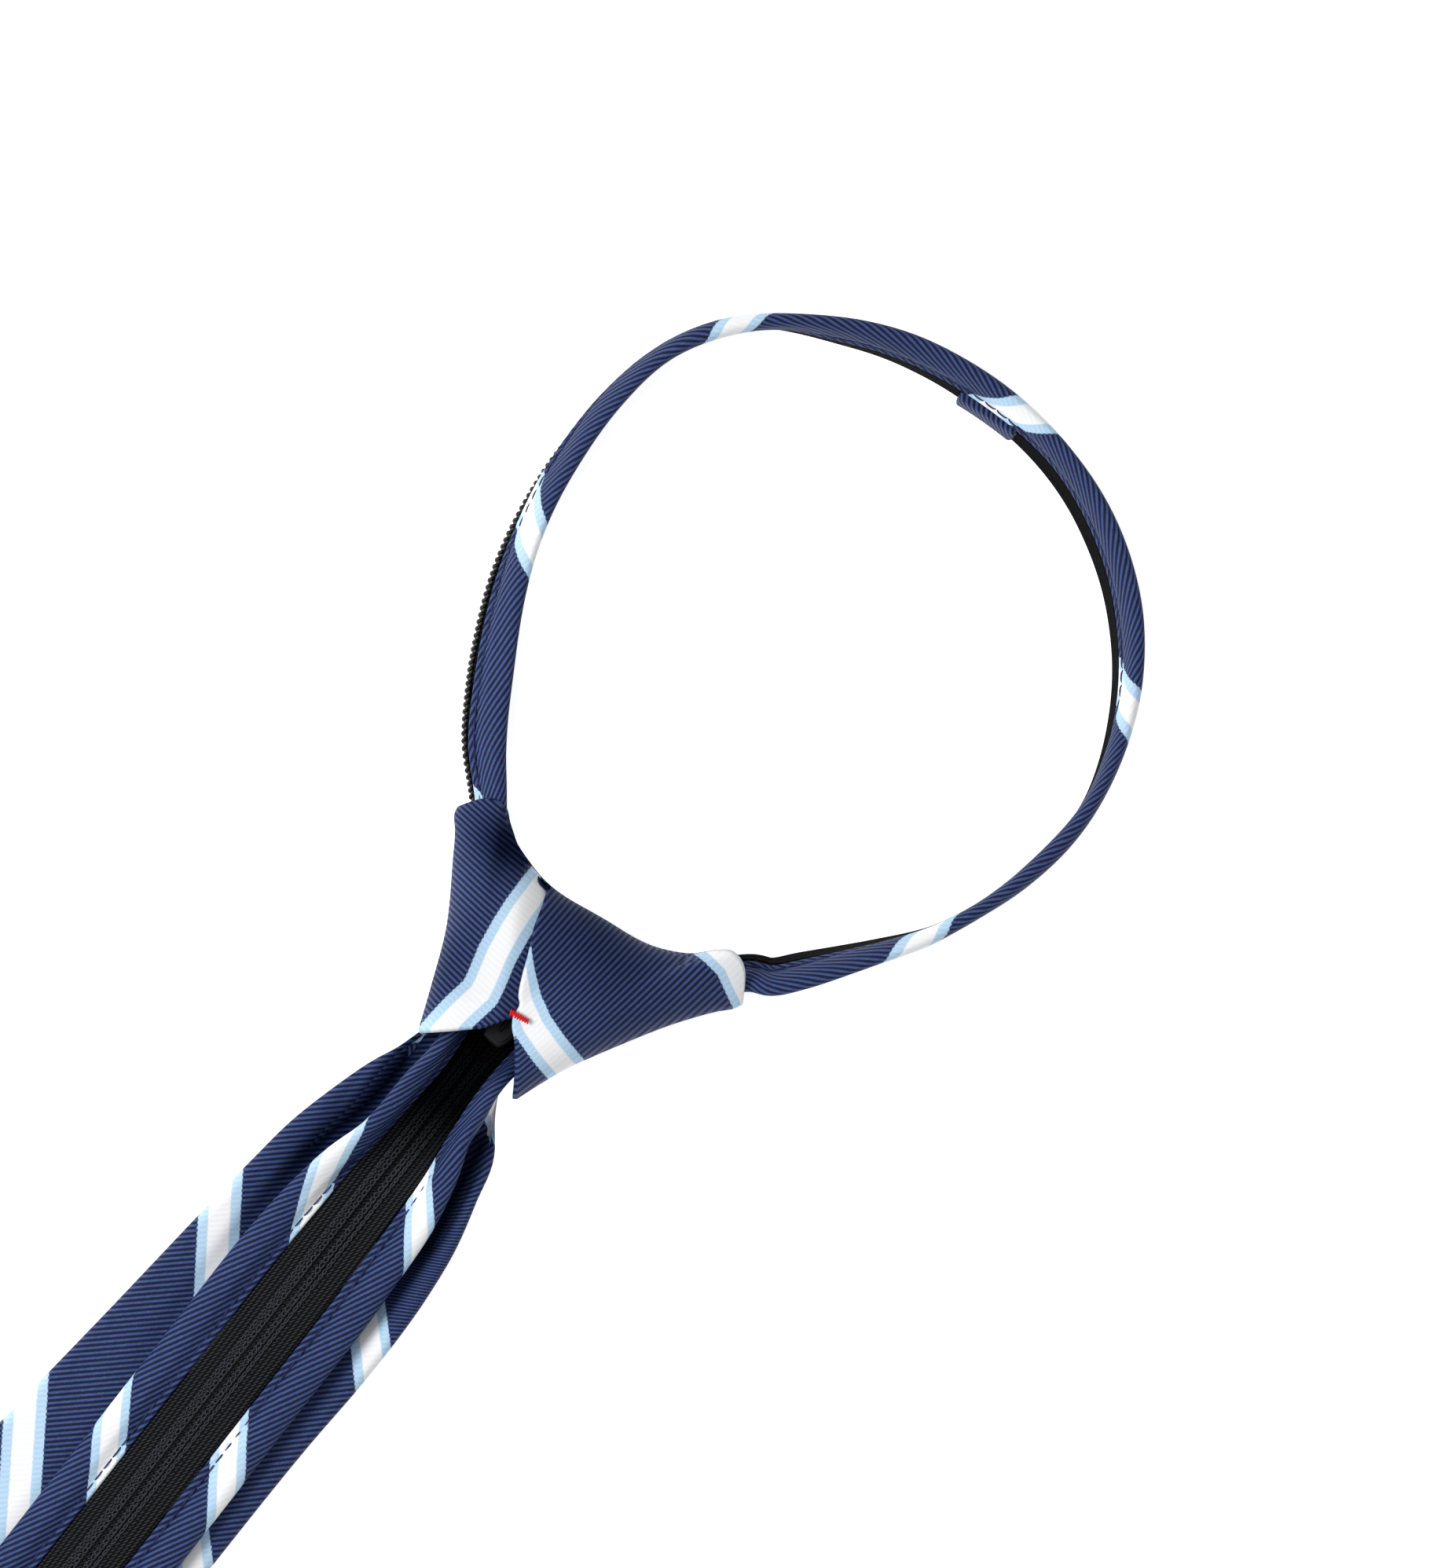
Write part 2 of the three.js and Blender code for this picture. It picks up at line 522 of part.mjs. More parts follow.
// The slider's plate, wide where the two zipper halves part.
function slider() {
  const half = SLIDER_WIDTH / 2;
  const shape = new THREE.Shape();
  shape.moveTo(-0.55 * half, 0);
  shape.quadraticCurveTo(0, -0.3 * half, 0.55 * half, 0);
  shape.lineTo(half, 0.7 * SLIDER_LENGTH);
  shape.quadraticCurveTo(half, SLIDER_LENGTH, 0.5 * half, SLIDER_LENGTH);
  shape.quadraticCurveTo(0, 0.86 * SLIDER_LENGTH, -0.5 * half, SLIDER_LENGTH);
  shape.quadraticCurveTo(-half, SLIDER_LENGTH, -half, 0.7 * SLIDER_LENGTH);
  const options = { depth: SLIDER_THICK, bevelEnabled: false, curveSegments: 4 };
  const geometry = new THREE.ExtrudeGeometry(shape, options);
  const mouth = TAIL_ROWS[TAIL_ROWS.length - 1];
  const foot = bladeTop(-KNOT_HEIGHT) + GAP + mouth.lift * BLADE_THICK;
  const seat = foot + coilFoot(radians(mouth.droop)) + TAPE_THICK / 2 + GAP / 2;
  geometry.translate(ZIPPER_X, SLIDER_TOP - KNOT_HEIGHT, seat);
  return geometry;
}

// The cloth end of the tail, as wide and thick as the two strips that it closes.
function tailEnd() {
  const half = TAPE_WIDTH + BAND_WIDTH;
  const corner = BAND_THICK;
  const shape = new THREE.Shape();
  shape.moveTo(-half, 0);
  shape.lineTo(-half, corner - TAIL_END_LENGTH);
  shape.quadraticCurveTo(-half, -TAIL_END_LENGTH, corner - half, -TAIL_END_LENGTH);
  shape.lineTo(half - corner, -TAIL_END_LENGTH);
  shape.quadraticCurveTo(half, -TAIL_END_LENGTH, half, corner - TAIL_END_LENGTH);
  shape.lineTo(half, 0);
  const options = { depth: BAND_THICK, bevelEnabled: false, curveSegments: 5 };
  const geometry = new THREE.ExtrudeGeometry(shape, options);
  const end = tailStations(1)[0];
  geometry.translate(ZIPPER_X, end.y - GAP, hingeHeight(end) - BAND_THICK / 2);
  return geometry;
}

const navyCloth = new THREE.MeshStandardMaterial({ color: 0x2a3566, roughness: 0.62, metalness: 0 });
const blackTape = new THREE.MeshStandardMaterial({ color: 0x101214, roughness: 0.85, metalness: 0 });
const blackNylon = new THREE.MeshStandardMaterial({ color: 0x0c0c0d, roughness: 0.35, metalness: 0 });
const greyMetal = new THREE.MeshStandardMaterial({ color: 0x2b2c30, roughness: 0.4, metalness: 0.7 });
const redThread = new THREE.MeshStandardMaterial({ color: 0xc41c26, roughness: 0.6, metalness: 0 });

const tie = new THREE.Group();

function add(name, geometry, material) {
  const mesh = new THREE.Mesh(geometry, material);
  mesh.name = name;
  tie.add(mesh);
}

const tab = tabPlace();
const leftEnd = tab - TAB_LENGTH / 2;
const rightEnd = tab + TAB_LENGTH / 2;

add("blade", blade(), navyCloth);
add("knot_wrap", knotWrap(), navyCloth);
add("bar_tack", barTack(), redThread);
add("neckband", bar(0, run.length, stripOutline), navyCloth);
add("zipper_tape_left", bar(0, leftEnd - GAP, tapeOutline), blackTape);
add("zipper_tape_right", bar(rightEnd + GAP, run.length, tapeOutline), blackTape);
add("zipper_coil_left", bar(0, leftEnd - GAP, coilOutline), blackNylon);
add("zipper_coil_right", bar(rightEnd + GAP, run.length, coilOutline), blackNylon);
add("neck_tab", bar(leftEnd, rightEnd, tabOutline), navyCloth);
add("zipper_slider", slider(), greyMetal);
add("tail_end", tailEnd(), navyCloth);

// The origin is the middle of the whole tie, on the surface that it lies on.
const bounds = new THREE.Box3().setFromObject(tie);
const middle = bounds.getCenter(point(0, 0, 0));
tie.position.set(-middle.x, -middle.y, -bounds.min.z);

export default tie;
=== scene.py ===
import math

import bpy
import numpy as np
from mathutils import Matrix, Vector


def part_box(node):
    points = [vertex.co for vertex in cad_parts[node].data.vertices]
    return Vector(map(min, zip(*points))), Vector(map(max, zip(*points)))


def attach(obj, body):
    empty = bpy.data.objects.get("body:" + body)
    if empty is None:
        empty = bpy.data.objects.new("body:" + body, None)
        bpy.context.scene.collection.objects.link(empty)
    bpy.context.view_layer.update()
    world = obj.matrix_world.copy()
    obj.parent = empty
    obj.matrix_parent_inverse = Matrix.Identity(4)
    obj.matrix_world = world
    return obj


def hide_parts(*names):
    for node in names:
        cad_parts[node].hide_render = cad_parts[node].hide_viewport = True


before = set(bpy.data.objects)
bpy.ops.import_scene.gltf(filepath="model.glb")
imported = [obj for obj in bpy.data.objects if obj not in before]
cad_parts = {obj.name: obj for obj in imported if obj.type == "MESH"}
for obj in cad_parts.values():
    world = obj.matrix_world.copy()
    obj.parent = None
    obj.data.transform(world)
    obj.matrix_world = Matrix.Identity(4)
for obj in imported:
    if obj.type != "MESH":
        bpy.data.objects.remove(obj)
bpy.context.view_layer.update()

# A pre-tied zipper tie lying face down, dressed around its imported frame. Every table is in the tie's own frame: in
# millimetres, +x to the right and +y towards the neck loop as seen from behind, +z up, from the middle of the knot's
# throat. place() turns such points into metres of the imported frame.

MM = 0.001
KNOT_HEIGHT = 40
KNOT_LEFT = 34.1  # from the middle of the throat to the left corner of the knot
knot_low, knot_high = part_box("knot_wrap")
ORIGIN = np.array([knot_low.x + KNOT_LEFT * MM, knot_low.y + KNOT_HEIGHT * MM, 0.0])

# The view: straight from above and turned against the tie.
VIEW_TURN = 38.0
VIEW_CENTRE = (6.35, 38.1)
VIEW_WIDTH = 295.7
VIEW_HEIGHT = 3000.0  # of the camera above the floor
VIEW_PLANE = 8.0  # the height at which the view is VIEW_WIDTH wide
SENSOR = 36.0

# Sizes that the frame and the scene share.
GAP = 0.3
CLOTH = 1.1
LOOP_RADIUS = 65
LOOP_CENTRE_X = 3
LOOP_RISE = 70
BAND_WIDTH = 8.6
BAND_THICK = 3.4
TAPE_WIDTH = 7.1
TAPE_THICK = 0.8
COIL_DEPTH = 1.5
COIL_WIDTH = 2.2
COIL_PROUD = 0.7
COIL_PITCH = 1.4
WIRE = 0.78
ZIPPER_X = 1
TAIL_LENGTH = 190
KNOT_WIDTH = 70
KNOT_DEPTH = 20
WING_DEPTH = 12.4
BLADE_LENGTH = 410
BLADE_WIDTH = 76
BLADE_THICK = 3.6
HEM_WIDTH = 10

# The cloth: ribs, and a white stripe between two light blue ones.
RIB_PITCH = 1.05
YARN_PITCH = 0.42
WHITE_HALF = 2.1
BLUE_WIDTH = 2.0
STRIPE_HALF = WHITE_HALF + BLUE_WIDTH
PLAIN = 60.0  # stripe distance of cloth with no stripe near it

# Its linear colours: in the furrows, with painted shade between the ribs, on the ribs, and in painted full shade.
NAVY_FURROW, NAVY_RIB, NAVY_BRIGHT = (0.007, 0.011, 0.036, 1), (0.043, 0.07, 0.2, 1), (0.057, 0.092, 0.243, 1)
BLUE_FURROW, BLUE_RIB = (0.41, 0.59, 0.78, 1), (0.48, 0.66, 0.82, 1)
WHITE_FURROW, WHITE_RIB = (0.82, 0.83, 0.85, 1), (0.87, 0.87, 0.885, 1)
NAVY_PAINTED_SHADE, BLUE_PAINTED_SHADE, WHITE_PAINTED_SHADE = (0.001, 0.0018, 0.009, 1), (0.03, 0.085, 0.18, 1), (0.14, 0.16, 0.21, 1)

# The tapes' knit: the pitch of its slanting threads and how far they slant, its rows and its holes.
KNIT_PITCH, KNIT_SLANT, KNIT_ROWS, HOLE_ROWS = 0.9, 1.5, 0.95, 1.35
# Its colours: dark and light thread, and the painted shade that the shade attribute mixes in.
KNIT_DARK, KNIT_LIGHT, KNIT_PAINTED_SHADE = (0.001, 0.001, 0.0015, 1), (0.044, 0.048, 0.057, 1), (0.0012, 0.0012, 0.0015, 1)

# The neckband's stations. turn and reach go round the loop, across and up from the mouth to the wing, and down is in
# heights of the knot. lean and droop are in degrees, and the rest are shares.
LOOP_COLUMNS = ("turn", "reach", "lean", "droop", "deploy", "squeeze", "base")
LOOP_ROWS = (
    (242.6, 1.098, 152, 78, 0.32, 0.84, 0.25),
    (234, 1.05, 156, 88, 0.75, 1, 0.06),
    (222, 0.989, 154, 92),
    (206, 0.958, 138, 91),
    (194, 0.955, 127, 88),
    (181, 0.967, 124, 80),
    (166, 1.002, 116, 71),
    (152, 1.043, 104, 79),
    (138, 1.041, 90, 88),
    (122, 1.008, 63, 86),
    (108, 0.995, 54, 82),
    (92, 0.984, 54, 78),
    (75, 0.993, 62, 70),
    (60, 0.999, 58, 73),
    (44, 1.006, 57, 77),
    (27, 1.007, 69, 80),
    (9, 1.004, 90, 80),
    (-9, 0.98, 92, 82),
    (-27, 0.969, 88, 82),
    (-40, 0.971, 70, 82),
    (-53.2, 1.014, 48, 74, 0.8, 0.94, 0.06),
    (-58.6, 1.04, 42, 70, 0.56, 0.88, 0.12),
    (-62.5, 1.038, 27, 62, 0.34, 0.8, 0.17),
)
KNOT_COLUMNS = ("across", "up", "left", "right", "droop", "deploy", "squeeze", "base")
KNOT_ROWS = (
    (0.06, 0.24, 58, 56, 20, 0.5, 0.66, 0.3),
    (0.37, 0.51, 96, 50, 40, 0.4, 0.72, 0.27),
    (0.6, 0.75, 132, 38, 60, 0.34, 0.78, 0.24),
)
TAIL_COLUMNS = ("down", "left", "right", "droop", "deploy", "squeeze", "lift")
TAIL_ROWS = (
    (TAIL_LENGTH / KNOT_HEIGHT,),
    (3.6,),
    (2.6,),
    (1.9,),
    (1.4, 5, 0, 0),
    (1.1, 14, 2, 4, 0.96, 0.98, 0.05),
    (0.78, 38, 12, 10, 0.92, 0.94, 0.12),
    (0.55, 60, 32, 14, 0.88, 0.86, 0.2),
    (0.26, 50, 58, 14, 0.7, 0.74, 0.25),
    (0, 42, 62, 10, 0.6, 0.66, 0.25),
)
BLADE_COLUMNS = ("down", "half", "drift", "curl", "roll", "rise")
BLADE_ROWS = (
    (-0.037, 0.21, -0.008, 0, 0, 0.6),
    (0.004, 0.285, -0.019, 0.1, 0, 0.6),
    (0.012, 0.325, -0.012, 0.5, 0.1, 0.5),
    (0.025, 0.41, 0, 1.15, 0.35, 0.3),
    (0.05, 0.495, 0, 1.25, 0.55, 0.08),
    (0.075, 0.562, 0.001, 0.95, 0.45, 0),
    (0.1, 0.597, 0.001, 0.65, 0.3, 0),
    (0.14, 0.628, -0.006, 0.3, 0.12, 0),
    (0.2, 0.646, -0.028, 0.08, 0.03, 0),
    (0.3, 0.696, -0.06, 0, 0, 0),
    (0.5, 0.797, -0.13, 0, 0, 0),
    (0.7, 0.9, -0.2, 0, 0, 0),
    (0.9, 1, -0.27, 0, 0, 0),
)
# The knot: half widths left and right and the depth at heights, the top edge as a share of the height and the foot in
# millimetres at shares of the width, and the seam's share at heights.
KNOT_SIDES = ((0, 0.345, 0.345, 0.88), (0.22, 0.445, 0.445, 0.93), (0.5, 0.585, 0.622, 1), (0.78, 0.79, 0.83, 0.98),
              (0.9, 0.882, 0.94, 0.94), (0.96, 0.94, 1.005, 0.92), (1, 0.952, 1.032, 0.9))
KNOT_TOP = ((-1, 0.02), (-0.965, 0.07), (-0.865, 0.152), (-0.77, 0.152), (-0.7, 0.106), (-0.586, 0.056),
            (-0.47, 0.025), (-0.34, 0), (0.1, 0.028), (0.45, 0.085), (0.61, 0.16), (0.78, 0.29), (0.9, 0.25),
            (1, 0.12))
KNOT_FOOT = ((-1, 0.2), (-0.746, 3), (-0.58, 4.7), (-0.373, 7), (-0.166, 9.2), (-0.04, 11.5), (0.14, 14), (0.207, 13),
             (0.373, 11.3), (0.746, 6), (1, 1.3))
KNOT_SEAM = ((0, 0.14), (0.1, 0.11), (0.21, 0.01), (0.45, -0.126), (0.58, -0.174), (0.68, -0.215), (0.9, -0.25),
             (0.96, -0.262), (1, -0.3))


def named(columns, rows, end=()):
    """A table's rows as dictionaries. A short row takes its last values from end."""
    return [dict(zip(columns, row + end[len(row) - len(columns) :])) for row in rows]


def through(places, values, at):
    """Values at any places between a table's rows, on a smooth curve through the rows."""
    places, values, at = (np.asarray(a, float) for a in (places, values, at))
    slope = np.gradient(values, places, axis=0)
    i = np.clip(np.searchsorted(places, at) - 1, 0, len(places) - 2)
    step = places[i + 1] - places[i]
    t = np.clip((at - places[i]) / step, 0, 1)
    if values.ndim > 1:
        step, t = step[:, None], t[:, None]
    a, b = values[i], values[i + 1]
    bend = slope[i] * step * (t - 2 * t**2 + t**3) + slope[i + 1] * step * (t**3 - t**2)
    return a * (1 - 3 * t**2 + 2 * t**3) + b * (3 * t**2 - 2 * t**3) + bend


def table_at(table, column, at):
    """One column of a table at an array of places in its first column."""
    rows = np.array(table, float)
    return through(rows[:, 0], rows[:, column], at.ravel()).reshape(at.shape)


def smooth(x, low, high):
    t = np.clip((x - low) / (high - low), 0, 1)
    return t * t * (3 - 2 * t)


def eased(t, power):
    """From 0 to 1 as t does, fast at first."""
    return 1 - (1 - t) ** power


def bell(x, spread):
    """1 where x is 0, fading on both sides."""
    return np.exp(-((x / spread) ** 2))


def both_ways(columns, power):
    """Shares from one side to the other, close together at both."""
    t = np.linspace(-1, 1, columns + 2)[1:-1]
    return np.sign(t) * eased(np.abs(t), power)


def blot(x, y, centre, spread):
    """1 at a centre, fading around it."""
    return np.exp(-(((x - centre[0]) / spread[0]) ** 2 + ((y - centre[1]) / spread[1]) ** 2))


def place(points):
    return np.asarray(points, float) * MM + ORIGIN


def box_of(node):
    return [(np.array(corner) - ORIGIN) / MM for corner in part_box(node)]


# Materials


class Nodes:
    """A short way to write a material's nodes."""

    def __init__(self, name):
        self.material = bpy.data.materials.new(name)
        self.material.use_nodes = True
        self.tree = self.material.node_tree
        self.shader = self.tree.nodes["Principled BSDF"]

    def add(self, kind, inputs=(), **settings):
        node = self.tree.nodes.new(kind)
        for key, value in settings.items():
            setattr(node, key, value)
        for key, value in dict(inputs).items():
            self.feed(node.inputs[key], value)
        return node

    def feed(self, socket, value):
        if isinstance(value, bpy.types.NodeSocket):
            self.tree.links.new(value, socket)
        else:
            socket.default_value = value

    def math(self, operation, *values):
        return self.add("ShaderNodeMath", dict(enumerate(values)), operation=operation).outputs[0]

    def plus(self, a, b):
        return self.math("ADD", a, b)

    def minus(self, a, b):
        return self.math("SUBTRACT", a, b)

    def times(self, a, b):
        return self.math("MULTIPLY", a, b)

    def attribute(self, name):
        return self.add("ShaderNodeAttribute", attribute_name=name).outputs["Fac"]

    def step(self, value, low, high):
        """From 0 to 1 as value goes from low to high."""
        inputs = {"Value": value, "From Min": low, "From Max": high}
        return self.add("ShaderNodeMapRange", inputs, interpolation_type="SMOOTHSTEP").outputs["Result"]

    def mix(self, share, a, b):
        return self.add("ShaderNodeMix", {0: share, 6: a, 7: b}, data_type="RGBA").outputs[2]

    def noise(self, scale, detail=3.0):
        return self.add("ShaderNodeTexNoise", {"Scale": scale, "Detail": detail}).outputs["Fac"]

    def wave(self, operation, value, pitch):
            return self.math(operation, self.times(value, 2 * math.pi / pitch))

    def jitter(self, size, *noise):
        return self.times(self.minus(self.noise(*noise), 0.5), size)

    def rest(self, value):
        return self.minus(1.0, value)

    def shine(self, level, fading):
        """A specular level that fades where shade is painted."""
        lit = self.rest(self.math("MINIMUM", self.times(self.attribute("shade"), fading), 1.0))
        return self.times(lit, level)

    def finish(self, colour, roughness, height, depth_mm, **sockets):
        bump = self.add("ShaderNodeBump", {"Height": height, "Distance": depth_mm * MM, "Strength": 1.0})
        sockets.update(Base_Color=colour, Roughness=roughness, Normal=bump.outputs["Normal"])
        for key, value in sockets.items():
            self.feed(self.shader.inputs[key.replace("_", " ")], value)
        return self.material


def colour(code):
    """A linear colour from a screen colour such as 2c3566."""
    parts = [int(code[i : i + 2], 16) / 255 for i in (0, 2, 4)]
    return tuple(c / 12.92 if c < 0.04045 else ((c + 0.055) / 1.055) ** 2.4 for c in parts) + (1.0,)


def striped_cloth():
    """Ribbed satin: rib and run are millimetres across and along the ribs, stripe those from the stripe's middle."""
    n = Nodes("striped_cloth")
    wave = n.wave("COSINE", n.plus(n.attribute("rib"), n.jitter(0.22, 350.0, 2.0)), RIB_PITCH)
    ridge = n.step(wave, -0.75, 0.7)
    yarn = n.wave("COSINE", n.attribute("run"), YARN_PITCH)
    edge = n.plus(n.attribute("stripe"), n.times(wave, 0.07))
    edge = n.plus(edge, n.jitter(0.45, 420.0))
    blue = n.rest(n.step(edge, STRIPE_HALF - 0.1, STRIPE_HALF + 0.1))
    white = n.rest(n.step(edge, WHITE_HALF - 0.12, WHITE_HALF + 0.12))
    patch = n.step(n.noise(120.0), 0.3, 0.75)
    # The furrows are darker than the ribs: painted shade between the ribs.
    navy = n.mix(ridge, NAVY_FURROW, n.mix(patch, NAVY_RIB, NAVY_BRIGHT))
    base = n.mix(blue, navy, n.mix(ridge, BLUE_FURROW, BLUE_RIB))
    base = n.mix(white, base, n.mix(ridge, WHITE_FURROW, WHITE_RIB))
    # Painted shade: the shade attribute darkens the cloth towards these colours in its folds and hollows.
    painted_shade_colour = n.mix(white, n.mix(blue, NAVY_PAINTED_SHADE, BLUE_PAINTED_SHADE), WHITE_PAINTED_SHADE)
    base = n.mix(n.attribute("shade"), base, painted_shade_colour)
    relief = n.plus(ridge, n.times(yarn, 0.1))
    flat = n.rest(n.times(blue, 0.9))
    height = n.plus(n.times(relief, flat), n.times(n.noise(2200.0), 0.25))
    rough = n.minus(0.6, n.times(ridge, 0.12))
    return n.finish(base, rough, height, 0.15, Specular_IOR_Level=n.shine(0.11, 1.6))


def knitted_tape():
    """Black knitted tape: along and across are millimetres along it and from its free edge."""
    n = Nodes("knitted_tape")
    along, across = n.attribute("along"), n.attribute("across")
    loops = n.wave("SINE", n.plus(along, n.times(across, KNIT_SLANT)), KNIT_PITCH)
    rows = n.wave("COSINE", across, KNIT_ROWS)
    knit = n.times(n.plus(loops, 1.0), n.plus(rows, 1.3))
    fluff = n.noise(2600.0, 4.0)
    holes = n.times(n.step(n.wave("SINE", along, COIL_PITCH), 0.2, 0.9),
                   n.step(n.wave("COSINE", across, HOLE_ROWS), 0.4, 0.95))
    holes = n.times(holes, n.rest(n.step(across, 2.9, 3.4)))
    thread = n.step(n.plus(n.times(knit, 0.26), fluff), 0.74, 1.22)
    # Painted shade: the shade attribute darkens the knit where it lies in shadow.
    base = n.mix(n.attribute("shade"), n.mix(thread, KNIT_DARK, KNIT_LIGHT), KNIT_PAINTED_SHADE)
    # The holes are painted near black: painted shade in the openings of the knit.
    base = n.mix(holes, base, colour("020202"))
    height = n.minus(n.plus(n.times(knit, 0.3), fluff), n.times(holes, 1.6))
    return n.finish(base, 0.85, height, 0.14, Specular_IOR_Level=n.shine(0.15, 1.1))


def plain_thread(name, code, roughness=0.6):
    n = Nodes(name)
    twist = n.noise(1500.0, 3.0)
    base = n.mix(twist, tuple(0.55 * c for c in colour(code)[:3]) + (1.0,), colour(code))
    # Painted shade: the shade attribute darkens the thread towards near black.
    base = n.mix(n.attribute("shade"), base, colour("050506"))
    return n.finish(base, roughness, twist, 0.05, Specular_IOR_Level=n.shine(0.25, 1.1))


def grained(name, scale, dark, light, roughness, **sockets):
    """A plain look. A roughness of None goes with the grain."""
    n = Nodes(name)
    grain = n.noise(scale)
    rough = n.step(grain, -0.6, 1.6) if roughness is None else roughness
    return n.finish(n.mix(grain, colour(dark), colour(light)), rough, grain, 0.02, **sockets)


# Each look, paired with a slot name.
SATIN = striped_cloth(), "navy_cloth"
TAPE = knitted_tape(), "black_tape"
NYLON = grained("black_nylon", 900.0, "060607", "1a1b1d", None), "black_nylon"
METAL = grained("dark_metal", 700.0, "08080a", "131317", 0.5, Metallic=0.3, Specular_IOR_Level=0.25), "dark_metal"
RED = plain_thread("red_thread", "fb141f"), "red_thread"
NAVY_THREAD = plain_thread("navy_thread", "2a3160"), "navy_cloth"
KNIT_THREAD = plain_thread("knit_thread", "43484e", 0.9), "black_tape"


# Meshes

EDGE_LIP = 0.45  # how far a sheet's rounded edge stands out, in thicknesses of the sheet


def put(name, data):
    made = bpy.data.objects.new(name, data)
    bpy.context.scene.collection.objects.link(made)
    return made


def piece(name, points, faces, look, replaced=(), **layers):
    """A piece of the dressed tie, with the values that its look reads at each point."""
    mesh = bpy.data.meshes.new(name)
    mesh.from_pydata(place(points).tolist(), [], faces)
    for key, values in layers.items():
        layer = mesh.attributes.new(key, "FLOAT", "POINT")
        layer.data.foreach_set("value", np.asarray(values, np.float32).ravel())
    mesh.shade_smooth()
    material, slot = look
    mesh.materials.append(material)
    made = put(name, mesh)
    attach(made, "root")
    if replaced:
        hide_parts(*replaced)
    return made


def flipped(faces):
    return [face[::-1] for face in faces]


def ring_faces(rings, sides):
    """Quads of a tube through closed rings, with flat ends."""
    faces = []
    for i in range(rings - 1):
        a, b = i * sides, (i + 1) * sides
        faces += [(a + j, a + (j + 1) % sides, b + (j + 1) % sides, b + j) for j in range(sides)]
    return faces + [tuple(range(sides))[::-1], tuple(range((rings - 1) * sides, rings * sides))]


def loft(name, grid, look, replaced, turned=False, **layers):
    """A piece through closed rings of points, a ring to each row of the grid."""
    faces = ring_faces(*grid.shape[:2])
    return piece(name, grid.reshape(-1, 3), flipped(faces) if turned else faces, look, replaced, **layers)


def thick_sheet(outer, inner):
    """Closed cloth between two grids of points, its four edges rounded. Gives points, faces and the grid of each."""
    rows, columns = outer.shape[:2]
    outer, inner = outer.reshape(-1, 3), inner.reshape(-1, 3)
    count = rows * columns
    index = np.arange(count).reshape(rows, columns)
    faces = []
    for a in index[:-1, :-1].ravel().tolist():
        b, c, d = a + 1, a + columns + 1, a + columns
        faces += [(a, b, c, d), (a + count, d + count, c + count, b + count)]
    rim = np.concatenate([index[0], index[1:, -1], index[-1, -2::-1], index[-2:0:-1, 0]]).tolist()
    inward = [columns] * columns + [-1] * (rows - 1) + [-columns] * (columns - 1) + [1] * (rows - 2)
    away = outer[rim] - outer[np.add(rim, inward)]
    away /= np.maximum(np.linalg.norm(away, axis=1)[:, None], 1e-6)
    wall = np.linalg.norm(outer[rim] - inner[rim], axis=1)[:, None]
    middle = (outer[rim] + inner[rim]) / 2 + away * EDGE_LIP * wall
    base = 2 * count
    for k, at in enumerate(rim):
        m = (k + 1) % len(rim)
        faces += [(rim[m], at, base + k, base + m), (base + m, base + k, at + count, rim[m] + count)]
    return np.concatenate([outer, inner, middle]), faces, np.concatenate([np.arange(count), np.arange(count), rim])


def tube_through(centres, radius, sides=6, closed=False, up=None):
    """Points and faces of a round thread along a line of centres."""
    centres = np.asarray(centres, float)
    way = np.roll(centres, -1, 0) - np.roll(centres, 1, 0) if closed else np.gradient(centres, axis=0)
    way /= np.linalg.norm(way, axis=1)[:, None]
    if up is None:
        up = (0.0, 0.0, 1.0) if np.abs(way[:, 2]).max() < 0.95 else (1.0, 0.0, 0.0)
    side = np.cross(way, up)
    side /= np.maximum(np.linalg.norm(side, axis=1)[:, None], 1e-6)
    other = np.cross(way, side)
    angles = 2 * np.pi * np.arange(sides) / sides
    points = centres[:, None] + radius * (side[:, None] * np.cos(angles)[None, :, None]
                                          + other[:, None] * np.sin(angles)[None, :, None])
    faces = flipped(ring_faces(len(centres), sides))
    if closed:
        last = (len(centres) - 1) * sides
        faces = faces[:-2] + [(last + j, j, (j + 1) % sides, last + (j + 1) % sides) for j in range(sides)]
    return points.reshape(-1, 3), faces


class Bundle:
    """Several closed shapes in one mesh."""

    def __init__(self):
        self.points, self.faces, self.count = [], [], 0

    def take(self, points, faces):
        self.points.append(points)
        self.faces += [tuple(v + self.count for v in face) for face in faces]
        self.count += len(points)

    def piece(self, name, look, replaced=(), **layers):
        return piece(name, np.concatenate(self.points), self.faces, look, replaced, **layers)


# The run of the neckband


def blade_rows(down):
    rows = np.array(BLADE_ROWS, float)
    values = through(rows[:, 0], rows[:, 1:], np.atleast_1d(down))
    return dict(zip(BLADE_COLUMNS[1:], values.T))


def blade_top(y):
    return BLADE_THICK * (1 + float(blade_rows((-KNOT_HEIGHT - y) / BLADE_LENGTH)["rise"][0]))


def spread_tape(row):
    return (TAPE_WIDTH - COIL_PROUD - GAP / 2) * row["deploy"]


def tail_stations(side):
    rows = []
    for row in named(TAIL_COLUMNS, TAIL_ROWS, (0, 0, 0, 1, 1, 0)):
        lean = row["left"] if side < 0 else row["right"]
        half = BAND_WIDTH * row["squeeze"] / 2
        gutter = spread_tape(row) * math.cos(math.radians(row["droop"])) + COIL_PROUD + GAP / 2
        y = -KNOT_HEIGHT * (1 + row["down"])
        x = ZIPPER_X + side * (gutter + half * math.cos(math.radians(lean)))
        rows.append(dict(row, lean=lean, x=x, y=y, foot=blade_top(y) + GAP + row["lift"] * BLADE_THICK))
    return rows


